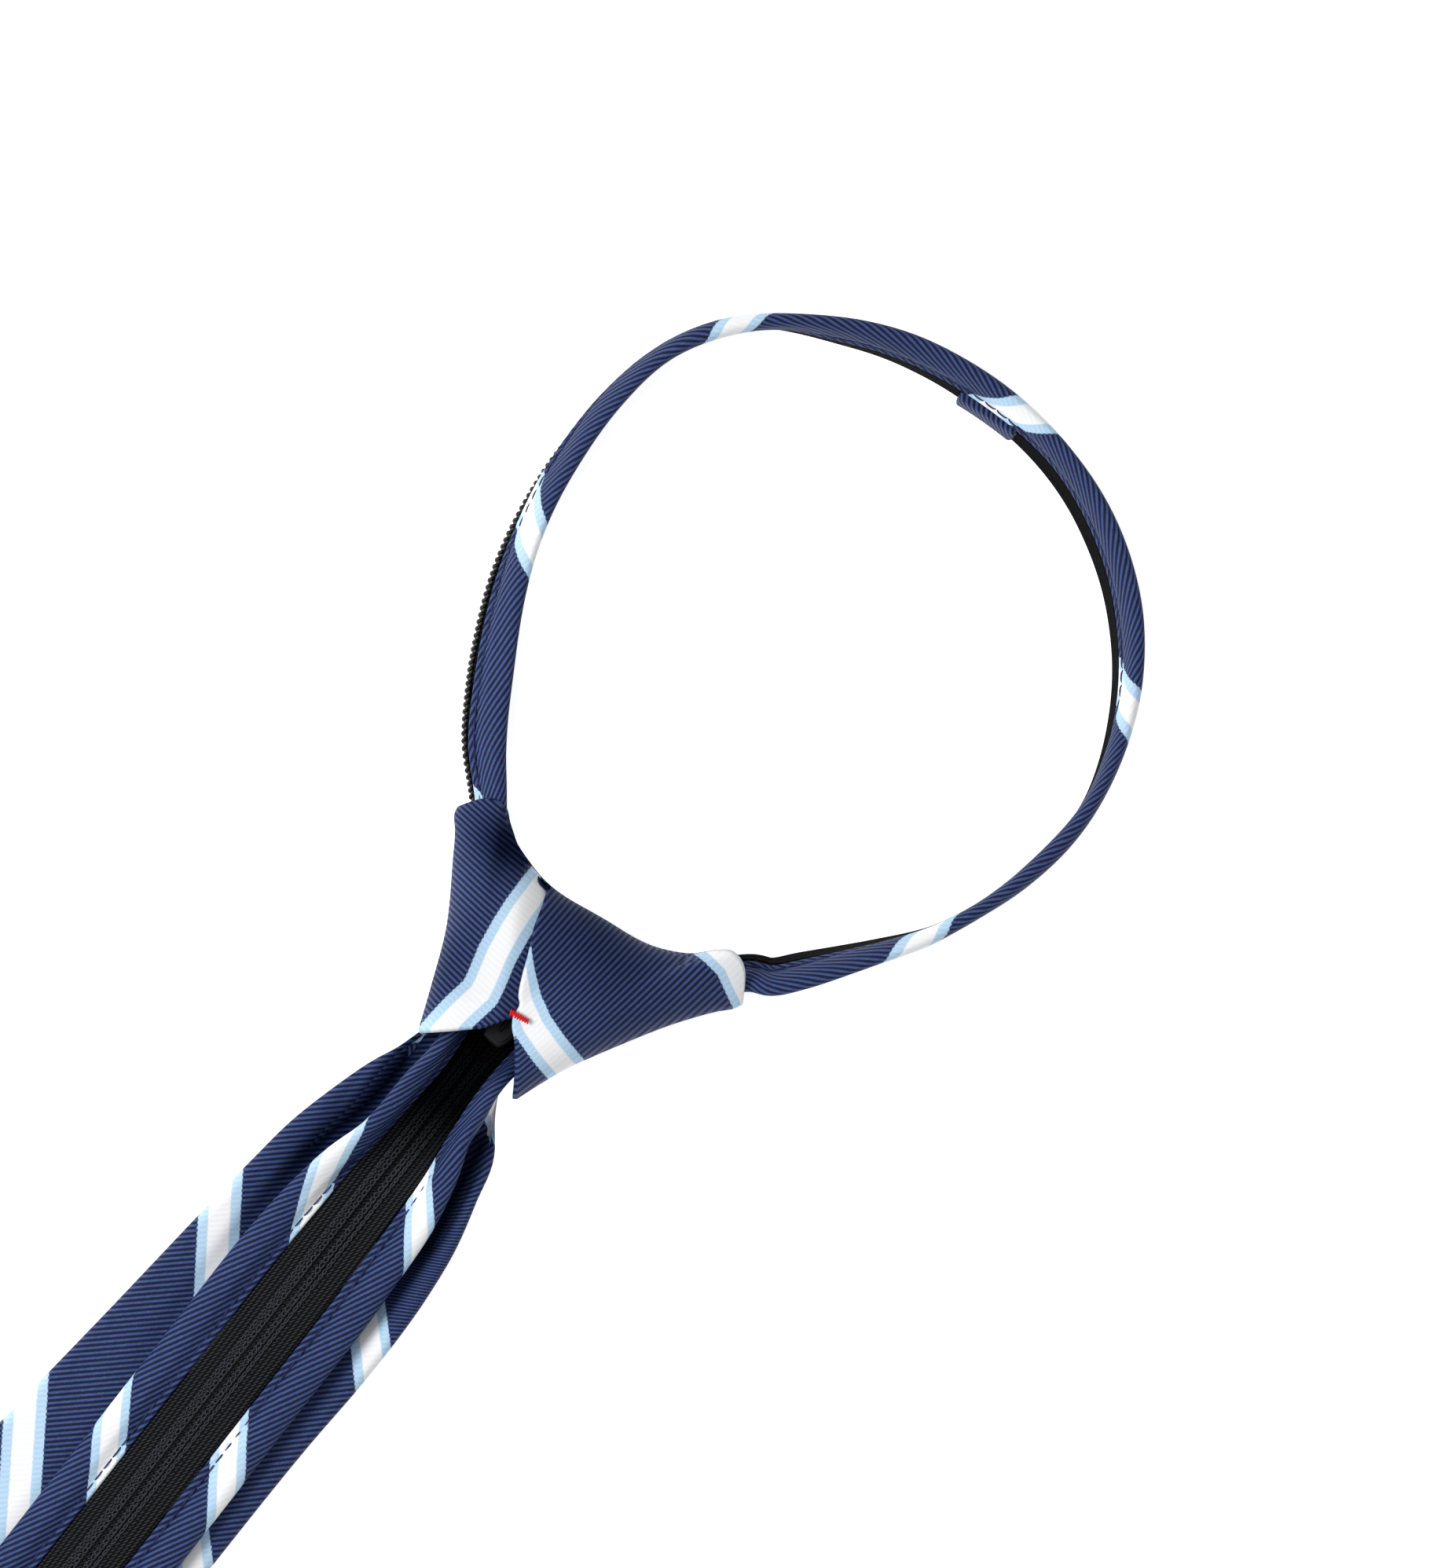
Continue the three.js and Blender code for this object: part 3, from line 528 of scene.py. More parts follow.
def loop_stations():
    rows = []
    for row in named(LOOP_COLUMNS, LOOP_ROWS, (1, 1, 0)):
        turn, reach = math.radians(row["turn"]), LOOP_RADIUS * row["reach"]
        x, y = LOOP_CENTRE_X + reach * math.cos(turn), LOOP_RISE + reach * math.sin(turn)
        rows.append(dict(row, x=x, y=y, foot=row["base"] * KNOT_DEPTH))
    return rows


def knot_stations(mouth, wing, side):
    rows = []
    for row in named(KNOT_COLUMNS, KNOT_ROWS):
        x = mouth["x"] + (wing["x"] - mouth["x"]) * row["across"]
        y = mouth["y"] + (wing["y"] - mouth["y"]) * row["up"]
        lean = row["left"] if side < 0 else row["right"]
        rows.append(dict(row, lean=lean, x=x, y=y, foot=row["base"] * KNOT_DEPTH))
    return rows


def centripetal(points, samples):
    """Points on a centripetal Catmull-Rom curve, a number of samples to each span."""
    points = np.concatenate([[2 * points[0] - points[1]], points, [2 * points[-1] - points[-2]]])
    knots = np.sum(np.diff(points, axis=0) ** 2, 1) ** 0.25
    t = (np.arange(samples) / samples)[:, None]
    curve = []
    for (a, b, c, d), (first, span, last) in zip(zip(points, points[1:], points[2:], points[3:]),
                                                 zip(knots, knots[1:], knots[2:])):
        leave = span * ((b - a) / first - (c - a) / (first + span) + (c - b) / span)
        arrive = span * ((c - b) / span - (d - b) / (span + last) + (d - c) / last)
        square, cube = 3 * (c - b) - 2 * leave - arrive, 2 * (b - c) + leave + arrive
        curve.append(b + leave * t + square * t**2 + cube * t**3)
    return np.concatenate(curve + [points[-2:-1]])


def band_course():
    """The neckband's stations, from the left strip's foot round the neck to the right one's, at every millimetre."""
    left, right, loop = tail_stations(-1), tail_stations(1)[::-1], loop_stations()
    rows = left + knot_stations(left[-1], loop[0], -1) + loop
    rows += knot_stations(right[0], loop[-1], 1)[::-1] + right
    samples = 24
    fine = centripetal(np.array([[row["x"], row["y"]] for row in rows]), samples)
    share = np.arange(len(fine)) / samples
    length = np.concatenate([[0], np.cumsum(np.hypot(*np.diff(fine, axis=0).T))])
    at = np.arange(0, length[-1], 1.0)
    spread = bell(np.arange(-8, 9), 3.2)
    spread /= spread.sum()
    run = {"at": at}
    for key in ("lean", "droop", "deploy", "squeeze", "foot"):
        value = np.interp(share, np.arange(len(rows)), [row[key] for row in rows])
        padded = np.pad(np.interp(at, length, value), 8, mode="reflect", reflect_type="odd")
        run[key] = np.convolve(padded, spread, mode="valid")
    run["x"], run["y"] = (np.interp(at, length, fine[:, i]) for i in (0, 1))
    return run


def band_run():
    """The neckband's course, with the directions of its strip and of its tape from the hinge between them."""
    run = band_course()
    dx, dy = np.gradient(run["x"]), np.gradient(run["y"])
    norm = np.hypot(dx, dy)
    zero = np.zeros_like(norm)
    run["forward"] = np.stack([dx / norm, dy / norm, zero], 1)
    outward = np.stack([-dy / norm, dx / norm, zero], 1)
    up = np.array([0.0, 0.0, 1.0])
    lean, droop = np.radians(run["lean"])[:, None], np.radians(run["droop"])[:, None]
    run["strip"] = outward * np.cos(lean) + up * np.sin(lean)
    run["strip_normal"] = -outward * np.sin(lean) + up * np.cos(lean)
    run["tape"] = -outward * np.cos(droop) - up * np.sin(droop)
    run["tape_normal"] = outward * np.sin(droop) - up * np.cos(droop)
    run["half"] = BAND_WIDTH * run["squeeze"] / 2
    run["spread"] = spread_tape(run)
    reach = (COIL_DEPTH + GAP / 2 + 0.5) * np.maximum(np.cos(droop[:, 0]), 0)
    hinge_z = run["foot"] + COIL_PROUD * np.sin(droop[:, 0]) + reach + run["spread"] * np.sin(droop[:, 0])
    flat = np.stack([run["x"], run["y"], zero], 1) - outward * np.cos(lean) * run["half"][:, None]
    run["hinge"] = flat + up * hinge_z[:, None]
    return run


RUN = band_run()
RUN_LENGTH = RUN["at"][-1]
STITCH_INSET, STITCH_LENGTH, STITCH_PITCH, STITCH_RADIUS = 1.5, 2.7, 3.0, 0.16
RIB_SLANT = math.radians(28)  # between the ribs of the neckband and its run


def tape_at(at):
    """The run's hinge and the tape's directions at any places along it."""
    keys = ("hinge", "tape", "tape_normal")
    return {key: np.stack([np.interp(at, RUN["at"], RUN[key][:, i]) for i in range(3)], 1) for key in keys}


def beside_run(run, way, reach, lift):
    """Points by the run: reach out along its strip or its tape, and lift off that."""
    return (run["hinge"][:, None] + run[way][:, None] * reach[..., None]
            + run[way + "_normal"][:, None] * lift[..., None])


def strip_profile():
    """Half thickness of the folded strip at shares of its width, from the stitched edge to the fold."""
    t = np.concatenate([[0.0, 0.012, 0.04], np.linspace(0.08, 0.92, 15), [0.96, 0.985, 1.0]])
    body = 0.4 + 0.6 * smooth(t, 0.17, 0.5)
    seam = 1 - 0.3 * bell(t - STITCH_INSET / BAND_WIDTH, 0.035)
    fold = np.sqrt(np.clip(1 - np.clip((t - 0.66) / 0.34, 0, 1) ** 2, 0, 1))
    cut = np.sqrt(np.clip(t / 0.045, 0, 1))
    return t, body * seam * fold * cut * BAND_THICK / 2


# Stripes of the neckband: a point in the middle of each white stripe where it shows from above, how far the stripe
# slips along the run for each millimetre across it, its whole width, and how far it lies past that point.
BAND_STRIPES = (
    (-9.5, -74.0, 1.62, 7.3, 0),
    (-11, -141.9, 1.5, 7.2, 0),
    (-11, -214, 1.55, 7.6, 0),
    (-33, 4.8, 1.0, 8, -5),
    (-55.2, 52.3, 1.0, 8.8, 0),
    (-49.3, 113.3, 0.95, 8, 0),
    (8.8, 134.8, 0.85, 8.4, 0),
    (61.4, 101.2, 0.66, 8.6, 0),
    (56.3, 36.9, 1.05, 9.4, 0),
    (11, -70.7, 1.38, 6.9, 0),
    (12, -135.9, 1.36, 7.6, 0),
    (12, -201, 1.36, 7.6, 0),
)


def band_pattern(points, at, around):
    """Stripe distance, rib and run coordinates. around goes from one stitched edge of the strip over its fold."""
    stripe = np.full(at.shape, PLAIN)
    for x, y, slip, width, past in BAND_STRIPES:
        near = np.hypot(points[..., 0] - x, points[..., 1] - y) < 1.2
        top = np.argmax(np.where(near, points[..., 2], -1e3))
        along = at - at.flat[top] - past - slip * (around - around.flat[top])
        stripe = np.minimum(stripe, np.abs(along) / math.hypot(1, slip) * (2 * STRIPE_HALF) / width)
    rib = at * math.sin(RIB_SLANT) + around * math.cos(RIB_SLANT)
    run = at * math.cos(RIB_SLANT) - around * math.sin(RIB_SLANT)
    return stripe, rib, run


def neckband():
    """The strip: puckered along its stitches, rippled, and gathered at the knot."""
    t, half_thick = strip_profile()
    profile = np.concatenate([np.stack([t, half_thick], 1), np.stack([t, -half_thick], 1)[-2:0:-1]])
    edges = np.hypot(*np.diff(profile * (BAND_WIDTH, 1), axis=0).T)
    at, around = np.meshgrid(RUN["at"], np.concatenate([[0], np.cumsum(edges)]), indexing="ij")
    along = profile[None, :, 0] * 2 * RUN["half"][:, None]
    side = np.where(np.arange(len(profile)) >= len(t), -1.0, 1.0)[None, :]
    body = np.sin(np.pi * profile[None, :, 0]) ** 0.5
    pucker = 0.17 * np.cos((at + 1.2 * along) * 2 * math.pi / STITCH_PITCH) * bell(along - STITCH_INSET - 0.5, 1.1)
    ripple = 0.13 * np.sin(at / 5.3 + along * 0.5) + 0.12 * np.sin(at / 8.9 - along * 0.35 + 2)
    gather = 0.55 * bell(RUN["y"][:, None] + 48, 14) * np.sin(at / 2.9 + 0.9 * along) * smooth(along, 2, 5)
    points = beside_run(RUN, "strip", along, profile[None, :, 1] + side * (pucker + ripple) * body + gather * body)
    stripe, rib, run = band_pattern(points, at, around)
    # Painted shade: a dark line along the stitches on the navy, and darker where the strip goes into the knot's
    # mouth.
    shade = 0.55 * bell(along - STITCH_INSET, 0.28) * (stripe > STRIPE_HALF)
    shade = shade + 0.5 * smooth(points[..., 1], -42, -34) * (points[..., 1] < 0) * (np.abs(points[..., 0]) < 13)
    return loft("neckband_cloth", points, SATIN, ("neckband",),
                stripe=stripe, rib=rib, run=run, shade=np.clip(shade, 0, 0.8))


def stitches():
    """Lock stitches along both faces of the strip, each a short thread that dips at its ends."""
    made = Bundle()
    sides, rings = 6, 7
    turns = [2 * math.pi * s / sides for s in range(sides)]
    for start in np.arange(2, RUN_LENGTH - 4, STITCH_PITCH):
        for face in (1, -1):
            points = []
            for k in range(rings):
                at = start + STITCH_LENGTH * k / (rings - 1)
                i = int(np.clip(round(at), 0, len(RUN["at"]) - 1))
                strip, normal = RUN["strip"][i], RUN["strip_normal"][i]
                height = face * (0.68 - 0.35 * abs(2 * k / (rings - 1) - 1) ** 3)
                centre = (RUN["hinge"][i] + RUN["forward"][i] * (at - RUN["at"][i]) + strip * STITCH_INSET
                          + normal * height)
                points += [centre + STITCH_RADIUS * (strip * math.cos(a) + normal * math.sin(a)) for a in turns]
            made.take(points, ring_faces(rings, sides))
    return made.piece("band_stitches", NAVY_THREAD)


TAB_LENGTH = 14.3
TAB_HALF = 3.35
TAB_AT = float(RUN["at"][np.argmin(np.hypot(RUN["x"] - 1.7, RUN["y"] - 134.9))])
TAPE_START = 0.3  # from the hinge to the tape's sewn edge


def tape(name, start, end):
    """A zipper tape hanging from the strip. The two meet in the tail. Shade is painted in the knot's mouth and loop.
    """
    part = (RUN["at"] >= start) & (RUN["at"] <= end)
    rows = {key: value[part] for key, value in RUN.items()}
    t = np.linspace(0, 1, 9)
    over = np.stack([t, np.full_like(t, TAPE_THICK / 2)], 1)
    under = np.stack([t[::-1], np.full_like(t, -TAPE_THICK / 2)], 1)
    profile = np.concatenate([over, [[1.012, 0]], under, [[-0.01, 0]]])
    meet = (np.abs(rows["hinge"][:, 0] - ZIPPER_X) - 0.04) / np.maximum(np.abs(rows["tape"][:, 0]), 0.3)
    in_tail = smooth(-rows["y"], 18, 26)
    far = ((rows["spread"] + COIL_PROUD - 0.5) * (1 - in_tail) + meet * in_tail)[:, None]
    reach = TAPE_START + profile[None, :, 0] * (far - TAPE_START)
    points = beside_run(rows, "tape", reach, profile[None, :, 1])
    # Painted shade: near black in the knot's mouth, and darker round the loop.
    dark = 0.92 * smooth(rows["y"], -66, -46) * smooth(-rows["y"], 0, 20) + 0.75 * smooth(rows["y"], 0, 10)
    along, shade = (np.repeat(values[:, None], len(profile), 1) for values in (rows["at"], dark))
    return loft(name + "_knit", points, TAPE, (name,),
                along=along, across=rows["spread"][:, None] + COIL_PROUD - reach, shade=shade)


CORD_HEIGHT, CORD_RADIUS = 0.4, 0.52


def coil(name, start, end, phase):
    """A row of nylon turns: a flat helix along the free edge of the tape, over a cord."""
    per_turn = 10
    at = np.arange(start + 1, end - 1, COIL_PITCH / per_turn)
    turn = 2 * math.pi * (at / COIL_PITCH + phase)
    run = tape_at(at)
    middle = np.interp(at, RUN["at"], RUN["spread"]) + COIL_PROUD - COIL_WIDTH / 2
    reach = middle + (COIL_WIDTH - WIRE) / 2 * np.cos(turn)
    height = TAPE_THICK / 2 - 0.1 + COIL_DEPTH / 2 + (COIL_DEPTH - WIRE) / 2 * np.sin(turn)
    centre = run["hinge"] + run["tape"] * reach[:, None] + run["tape_normal"] * height[:, None]
    made = Bundle()
    made.take(*tube_through(centre, WIRE / 2, up=run["tape_normal"]))
    cord = run["hinge"] + run["tape"] * middle[:, None] + run["tape_normal"] * (TAPE_THICK / 2 + CORD_HEIGHT)
    made.take(*tube_through(cord[::5], CORD_RADIUS, 8))
    return made.piece(name + "_turns", NYLON, (name,))


def chain_stitches():
    """The rows of chain stitches that hold the coils, on the back of the tapes in the tail."""
    made = Bundle()
    turn = 2 * np.pi * np.arange(10) / 10
    part = np.nonzero((RUN["y"] < -30) & (RUN["at"] < RUN_LENGTH / 2))[0]
    heights = RUN["hinge"][part, 2]
    shade = []
    for y in np.arange(-38, -KNOT_HEIGHT - TAIL_LENGTH + 1, -COIL_PITCH):
        z = np.interp(y, RUN["y"][part], heights) + TAPE_THICK / 2
        for column, wide in ((-2.35, 0.26), (-1.1, 0.4), (1.1, 0.42), (2.35, 0.28)):
            phase = 0.5 * COIL_PITCH * (abs(column) > 2) + 0.12 * math.sin(y * 2.1 + column * 3)
            centres = np.stack([ZIPPER_X - 0.25 + column + wide * np.cos(turn), y + phase + 0.66 * np.sin(turn),
                                z + 0.06 + 0.05 * np.cos(turn * 2)], 1)
            made.take(*tube_through(centres, 0.11, 5, closed=True))
            # Painted shade: the chain stitches darken towards the knot's mouth.
            shade += [0.92 * float(smooth(y, -68, -48))] * (len(centres) * 5)
    return made.piece("tape_chain_stitches", KNIT_THREAD, shade=np.array(shade))


def superellipse(angles, across, thick):
    """Across and thick shares of a rounded box's outline, given its two powers."""
    return (np.sign(f(angles)) * np.abs(f(angles)) ** power for f, power in ((np.cos, across), (np.sin, thick)))


def neck_tab():
    """The folded cloth that covers the zipper's ends at the back of the neck, hanging from the strip."""
    at = np.linspace(TAB_AT - TAB_LENGTH / 2 - 0.2, TAB_AT + TAB_LENGTH / 2 + 0.2, 34)
    run = tape_at(at)
    ends = np.abs(at - TAB_AT) / (TAB_LENGTH / 2)
    size = 0.35 + 0.65 * np.clip(1 - np.clip((ends - 0.9) / 0.1, 0, 1) ** 2.5, 0, 1) ** 0.5
    across, thick = superellipse(2 * np.pi * (np.arange(40) + 0.5) / 40, 0.55, 0.55)
    reach = 3.55 + TAB_HALF * across[None, :] * (0.6 + 0.4 * size[:, None])
    stout = 1.45 - 0.4 * (at - at[0]) / TAB_LENGTH
    lift = -0.3 - (stout[:, None] - 1.05) + stout[:, None] * thick[None, :] * size[:, None]
    arc = np.concatenate([[0], np.cumsum(np.hypot(TAB_HALF * np.diff(across), 1.2 * np.diff(thick)))])
    slant = at[:, None] * 0.85 - arc[None, :] * 0.5
    return loft("neck_tab_cloth", beside_run(run, "tape", reach, lift), SATIN, ("neck_tab",),
                turned=True, stripe=np.full(slant.shape, PLAIN), rib=slant, run=slant * 0, shade=slant * 0)


def tail_end():
    """The cloth cap that closes both strips at the foot of the tail."""
    low, high = box_of("tail_end")
    middle, half = (low + high) / 2, (high - low) / 2
    share = eased(np.linspace(0, 1, 26), 1.6)
    down = np.concatenate([share / 2, 1 - share[-2::-1] / 2])
    across, thick = superellipse(2 * np.pi * (np.arange(120) + 0.5) / 120, 0.35, 0.6)
    lip = np.sqrt(np.clip(1 - np.abs(2 * down - 1) ** 8, 0.02, 1))[:, None]
    corner = (np.clip(1 - np.clip((down - 0.7) / 0.3, 0, 1) ** 2.5, 0.0, 1) ** 0.4)[:, None]
    x = middle[0] + (half[0] - 3.4 * (1 - corner)) * across[None, :]
    y = high[1] - down[:, None] * (high[1] - low[1]) * np.ones_like(x)
    from_seam = y - high[1] + 2.2
    pucker = 0.12 * np.cos(x * 2 * np.pi / STITCH_PITCH) * bell(from_seam, 0.8)
    groove = 0.3 * bell(from_seam, 0.35)
    z = middle[2] + half[2] * lip * thick[None, :] * (1 - 0.25 * groove) - np.sign(thick)[None, :] * pucker
    stripe = np.abs((y - middle[1]) + 0.9 * (x - middle[0] - 6)) / 1.35
    rib = x * math.sin(0.9) + y * math.cos(0.9)
    return loft("tail_end_cloth", np.stack([x, y, z], -1), SATIN, ("tail_end",),
                stripe=stripe, rib=rib, run=x - y, shade=x * 0)


def bar_tack():
    """Red thread wound over a core, across the foot of the knot's seam."""
    low, high = box_of("bar_tack")
    start, end = np.array([0.4, -25.3]), np.array([4.4, -24.6])
    way = (end - start) / np.linalg.norm(end - start)
    side = np.array([-way[1], way[0]])
    z = (low[2] + high[2]) / 2
    made = Bundle()
    core = [(*(start + (end - start) * t), z - 0.1 + 0.25 * math.sin(math.pi * t)) for t in np.linspace(0, 1, 12)]
    made.take(*tube_through(core, 0.3, 8))
    for k, t in enumerate(np.linspace(0.02, 0.98, 15)):
        centre = start + (end - start) * t
        lean = 0.12 * way * (1 if k % 2 else -1)
        arc = np.linspace(-1.25, 1.25, 9)
        line = [(*(centre + (side * (0.68 - 0.25 * t) + lean) * math.sin(a)), z - 0.28 + 0.5 * math.cos(a)
                 + 0.2 * math.sin(math.pi * t)) for a in arc]
        made.take(*tube_through(line, 0.15, 6))
    return made.piece("bar_tack_thread", RED, ("bar_tack",))


# The slider's plate, in widths and lengths of its box.
SLIDER_OUTLINE = ((-0.28, 0), (0, -0.03), (0.28, 0), (0.42, 0.3), (0.5, 0.68), (0.46, 0.9), (0.28, 1), (0, 0.93),
                  (-0.28, 1), (-0.46, 0.9), (-0.5, 0.68), (-0.42, 0.3))


def slider():
    """The slider's plate, a smaller one on it and the crown, behind the mouth of the knot."""
    low, high = box_of("zipper_slider")
    middle, size = (low + high) / 2, high - low
    closed = np.array(SLIDER_OUTLINE + SLIDER_OUTLINE[:1])
    fine = np.linspace(0, len(SLIDER_OUTLINE), 72, endpoint=False)
    ring = np.stack([through(np.arange(len(closed)), closed[:, i], fine) for i in (0, 1)], 1)
    centre = np.array([0, 0.5])
    made = Bundle()

    def plate(bottom, top, scale):
        rings = []
        for shrink, level in ((0.86, 0), (0.97, 0.12), (1, 0.35), (1, 0.65), (0.97, 0.88), (0.86, 1)):
            flat = (centre + (ring - centre) * shrink * scale) * (size[0], size[1]) + (middle[0], low[1])
            rings.append(np.column_stack([flat, np.full(len(flat), bottom + level * (top - bottom))]))
        made.take(np.concatenate(rings), ring_faces(len(rings), len(ring)))

    plate(low[2], high[2] - 0.1, 1.0)
    plate(high[2] - 0.15, high[2] + 0.15, 0.8)
    crown = [(middle[0], low[1] + size[1] * (0.3 + 0.45 * s), high[2] + 0.1 + 0.75 * math.sin(math.pi * s) ** 0.6)
             for s in np.linspace(0, 1, 14)]
    made.take(*tube_through(crown, 0.42, 10))
    return made.piece("zipper_slider_metal", METAL, ("zipper_slider",))


# The knot


def folded_piece(name, outer, inner, node, stripe, rib, run, shade):
    points, faces, owner = thick_sheet(outer, inner)
    stripe, rib, run, shade = (values.ravel()[owner] for values in (stripe, rib, run, shade))
    return piece(name, points, faces, SATIN, (node,), stripe=stripe, rib=rib, run=run, shade=shade)


def polyline_distance(x, y, line):
    """Distance to a line through chosen points."""
    best = np.full(x.shape, 1e9)
    line = np.array(line, float)
    for (ax, ay), (bx, by) in zip(line[:-1], line[1:]):
        dx, dy = bx - ax, by - ay
        t = np.clip(((x - ax) * dx + (y - ay) * dy) / (dx * dx + dy * dy), 0, 1)
        best = np.minimum(best, np.hypot(x - ax - t * dx, y - ay - t * dy))
    return best


# The middles of the wrap's stripes behind: down the left panel, across the right one and round its wing.
LEFT_STRIPE = ((-10.3, 5), (-10.5, -2), (-10.3, -8), (-9.9, -12), (-9, -17.7), (-7.4, -23.5), (-6.9, -26),
               (-7.3, -28.5), (-7.8, -31.5), (-8.2, -36), (-8.6, -43))
RIGHT_STRIPE = ((-8.5, -12.6), (-3.4, -17.8), (1, -22.1), (5.5, -24.7), (11, -26.4), (17.5, -27.9), (24, -28.6))
CUFF_STRIPE = ((20, 10.2), (25, 10.7), (30, 10.1), (34, 8), (38, 6))
FRONT_PERIOD, FRONT_RISE, FRONT_POINT = 34, 0.45, (17.5, -27.5)  # of the stripes in front
KNOT_LOOSE = 1.018  # how much wider than its solid the cloth is
# The cleft at the top of the seam: its middle, spread and depth; painted shade makes it near black.
CLEFT, CLEFT_SPREAD, CLEFT_DEPTH = (-10.3, -0.7), (1.8, 0.75), 1.8
LEFT_COLUMNS, FRONT_COLUMNS, RIGHT_COLUMNS = 70, 100, 84


def knot_point(up, share, face, inset):
    """A point of the wrap: up from the mouth (0) to the top edge (1), share across, face 1 behind and -1 in front."""
    left, right, deep = (table_at(KNOT_SIDES, column, up) for column in (1, 2, 3))
    half = KNOT_LOOSE * KNOT_WIDTH / 2 * np.where(share < 0, left, right)
    top = KNOT_HEIGHT * table_at(KNOT_TOP, 1, np.clip(share, -1, 1))
    fore = np.interp(share, (-1, 0, 0.5, 0.75, 1), (0.2, 1, 3, 5.5, 1.3))
    bottom = -KNOT_HEIGHT + np.where(face > 0, table_at(KNOT_FOOT, 1, np.clip(share, -1, 1)), fore)
    wing = smooth(np.abs(share), 0.3, 0.8) * up**3
    middle = 1 - smooth(np.abs(share), 0.6, 0.8)
    close = np.sqrt(1 - middle * np.clip((up - 0.55) / 0.45, 0, 1) ** 2.3)
    slot = CLOTH + GAP / 2
    full = (1 - wing) * KNOT_DEPTH / 2 * deep + wing * WING_DEPTH / 2
    depth = slot + (full - slot) * close
    rounding = np.sqrt(np.clip(1 - np.abs(share) ** (6 + 8 * up), 0, 1))
    level = (1 - wing) * KNOT_DEPTH / 2 * deep + wing * KNOT_DEPTH * 0.39
    z = level + face * np.maximum(depth - inset, GAP / 2) * rounding
    return np.stack([share * (half - inset), bottom + (top - bottom) * up, z], -1)


def knot_grid(up, seam):
    """Shares across the wrap from under the seam round to the lap, faces, the lapping part and what dives under."""
    lap = 0.09 - 0.13 * smooth(up, 0.93, 1)
    left_t, right_t = (eased(np.linspace(0, 1, columns), 1.7) for columns in (LEFT_COLUMNS, RIGHT_COLUMNS))
    front = both_ways(FRONT_COLUMNS, 1.7)
    shares = np.array([np.concatenate([s + over + (-1 - s - over) * left_t, front, (s + (1 - s) * right_t)[::-1]])
                       for s, over in zip(seam, lap)])
    face, lapped, under = np.ones_like(shares), np.zeros_like(shares), np.zeros_like(shares)
    face[:, LEFT_COLUMNS:-RIGHT_COLUMNS] = -1
    lapped[:, -RIGHT_COLUMNS:] = 1
    before = seam[:, None] + lap[:, None] - shares[:, :LEFT_COLUMNS]
    under[:, :LEFT_COLUMNS] = 1 - smooth(before, 0.06, 0.3)
    return shares, face, lapped, under


def knot_pattern(x, y, face, lapped, cleft):
    """Stripe distance, rib and run coordinates of the wrap."""
    left = polyline_distance(x, y, LEFT_STRIPE)
    right = polyline_distance(x, y, RIGHT_STRIPE) * (1 + 0.3 * (1 - smooth(x, -4, 6)))
    cuff = polyline_distance(x, y, CUFF_STRIPE) * 1.1
    ahead = ((y - FRONT_POINT[1]) - FRONT_RISE * (x - FRONT_POINT[0])) / math.hypot(1, FRONT_RISE)
    ahead = np.abs((ahead + FRONT_PERIOD / 2) % FRONT_PERIOD - FRONT_PERIOD / 2)
    stripe = np.where(face < 0, ahead, np.where(lapped > 0, np.minimum(right, cuff), left))
    # In the cleft the stripe is dropped, so the painted shade there turns near black.
    stripe = np.where((cleft > 0.45) & (face > 0), PLAIN, stripe)
    rib_left = y + 0.06 * (x + 12) - 0.0015 * (x + 14) ** 2 - 0.0035 * (x + 12) * (y + 12)
    rib_right = x - 0.13 * y + 0.0025 * (y + 12) ** 2 - 0.004 * (x - 8) * (y + 12)
    rib_front = x * math.cos(0.21) + y * math.sin(0.21)
    rib = np.where(face < 0, rib_front, np.where(lapped > 0, rib_right, rib_left))
    return stripe, rib, np.where(face < 0, y, np.where(lapped > 0, y, x))


def knot_shade(x, y, past_seam, lapped, cleft):
    """Painted shade on the back of the wrap: in its hollows, in the shadow of the lapping edge and in the cleft."""
    hollow = blot(x, y, (-20, 1), (9, 5.5)) * (1 - lapped) * smooth(-x, 13.5, 15.5)
    throat = blot(x, y, (2, 1), (13, 6)) * lapped
    beside = bell(past_seam, 0.035) * (1 - lapped) * (past_seam < 0.02) * smooth(-y, 8, 13)
    broad = blot(x, y, (5, -7), (15, 10)) * lapped
    corner = blot(x, y, (-16, -27), (6, 12)) * (1 - lapped)
    return 0.8 * hollow + 0.2 * throat + 0.35 * beside + 0.32 * broad + 0.32 * corner + 0.95 * cleft


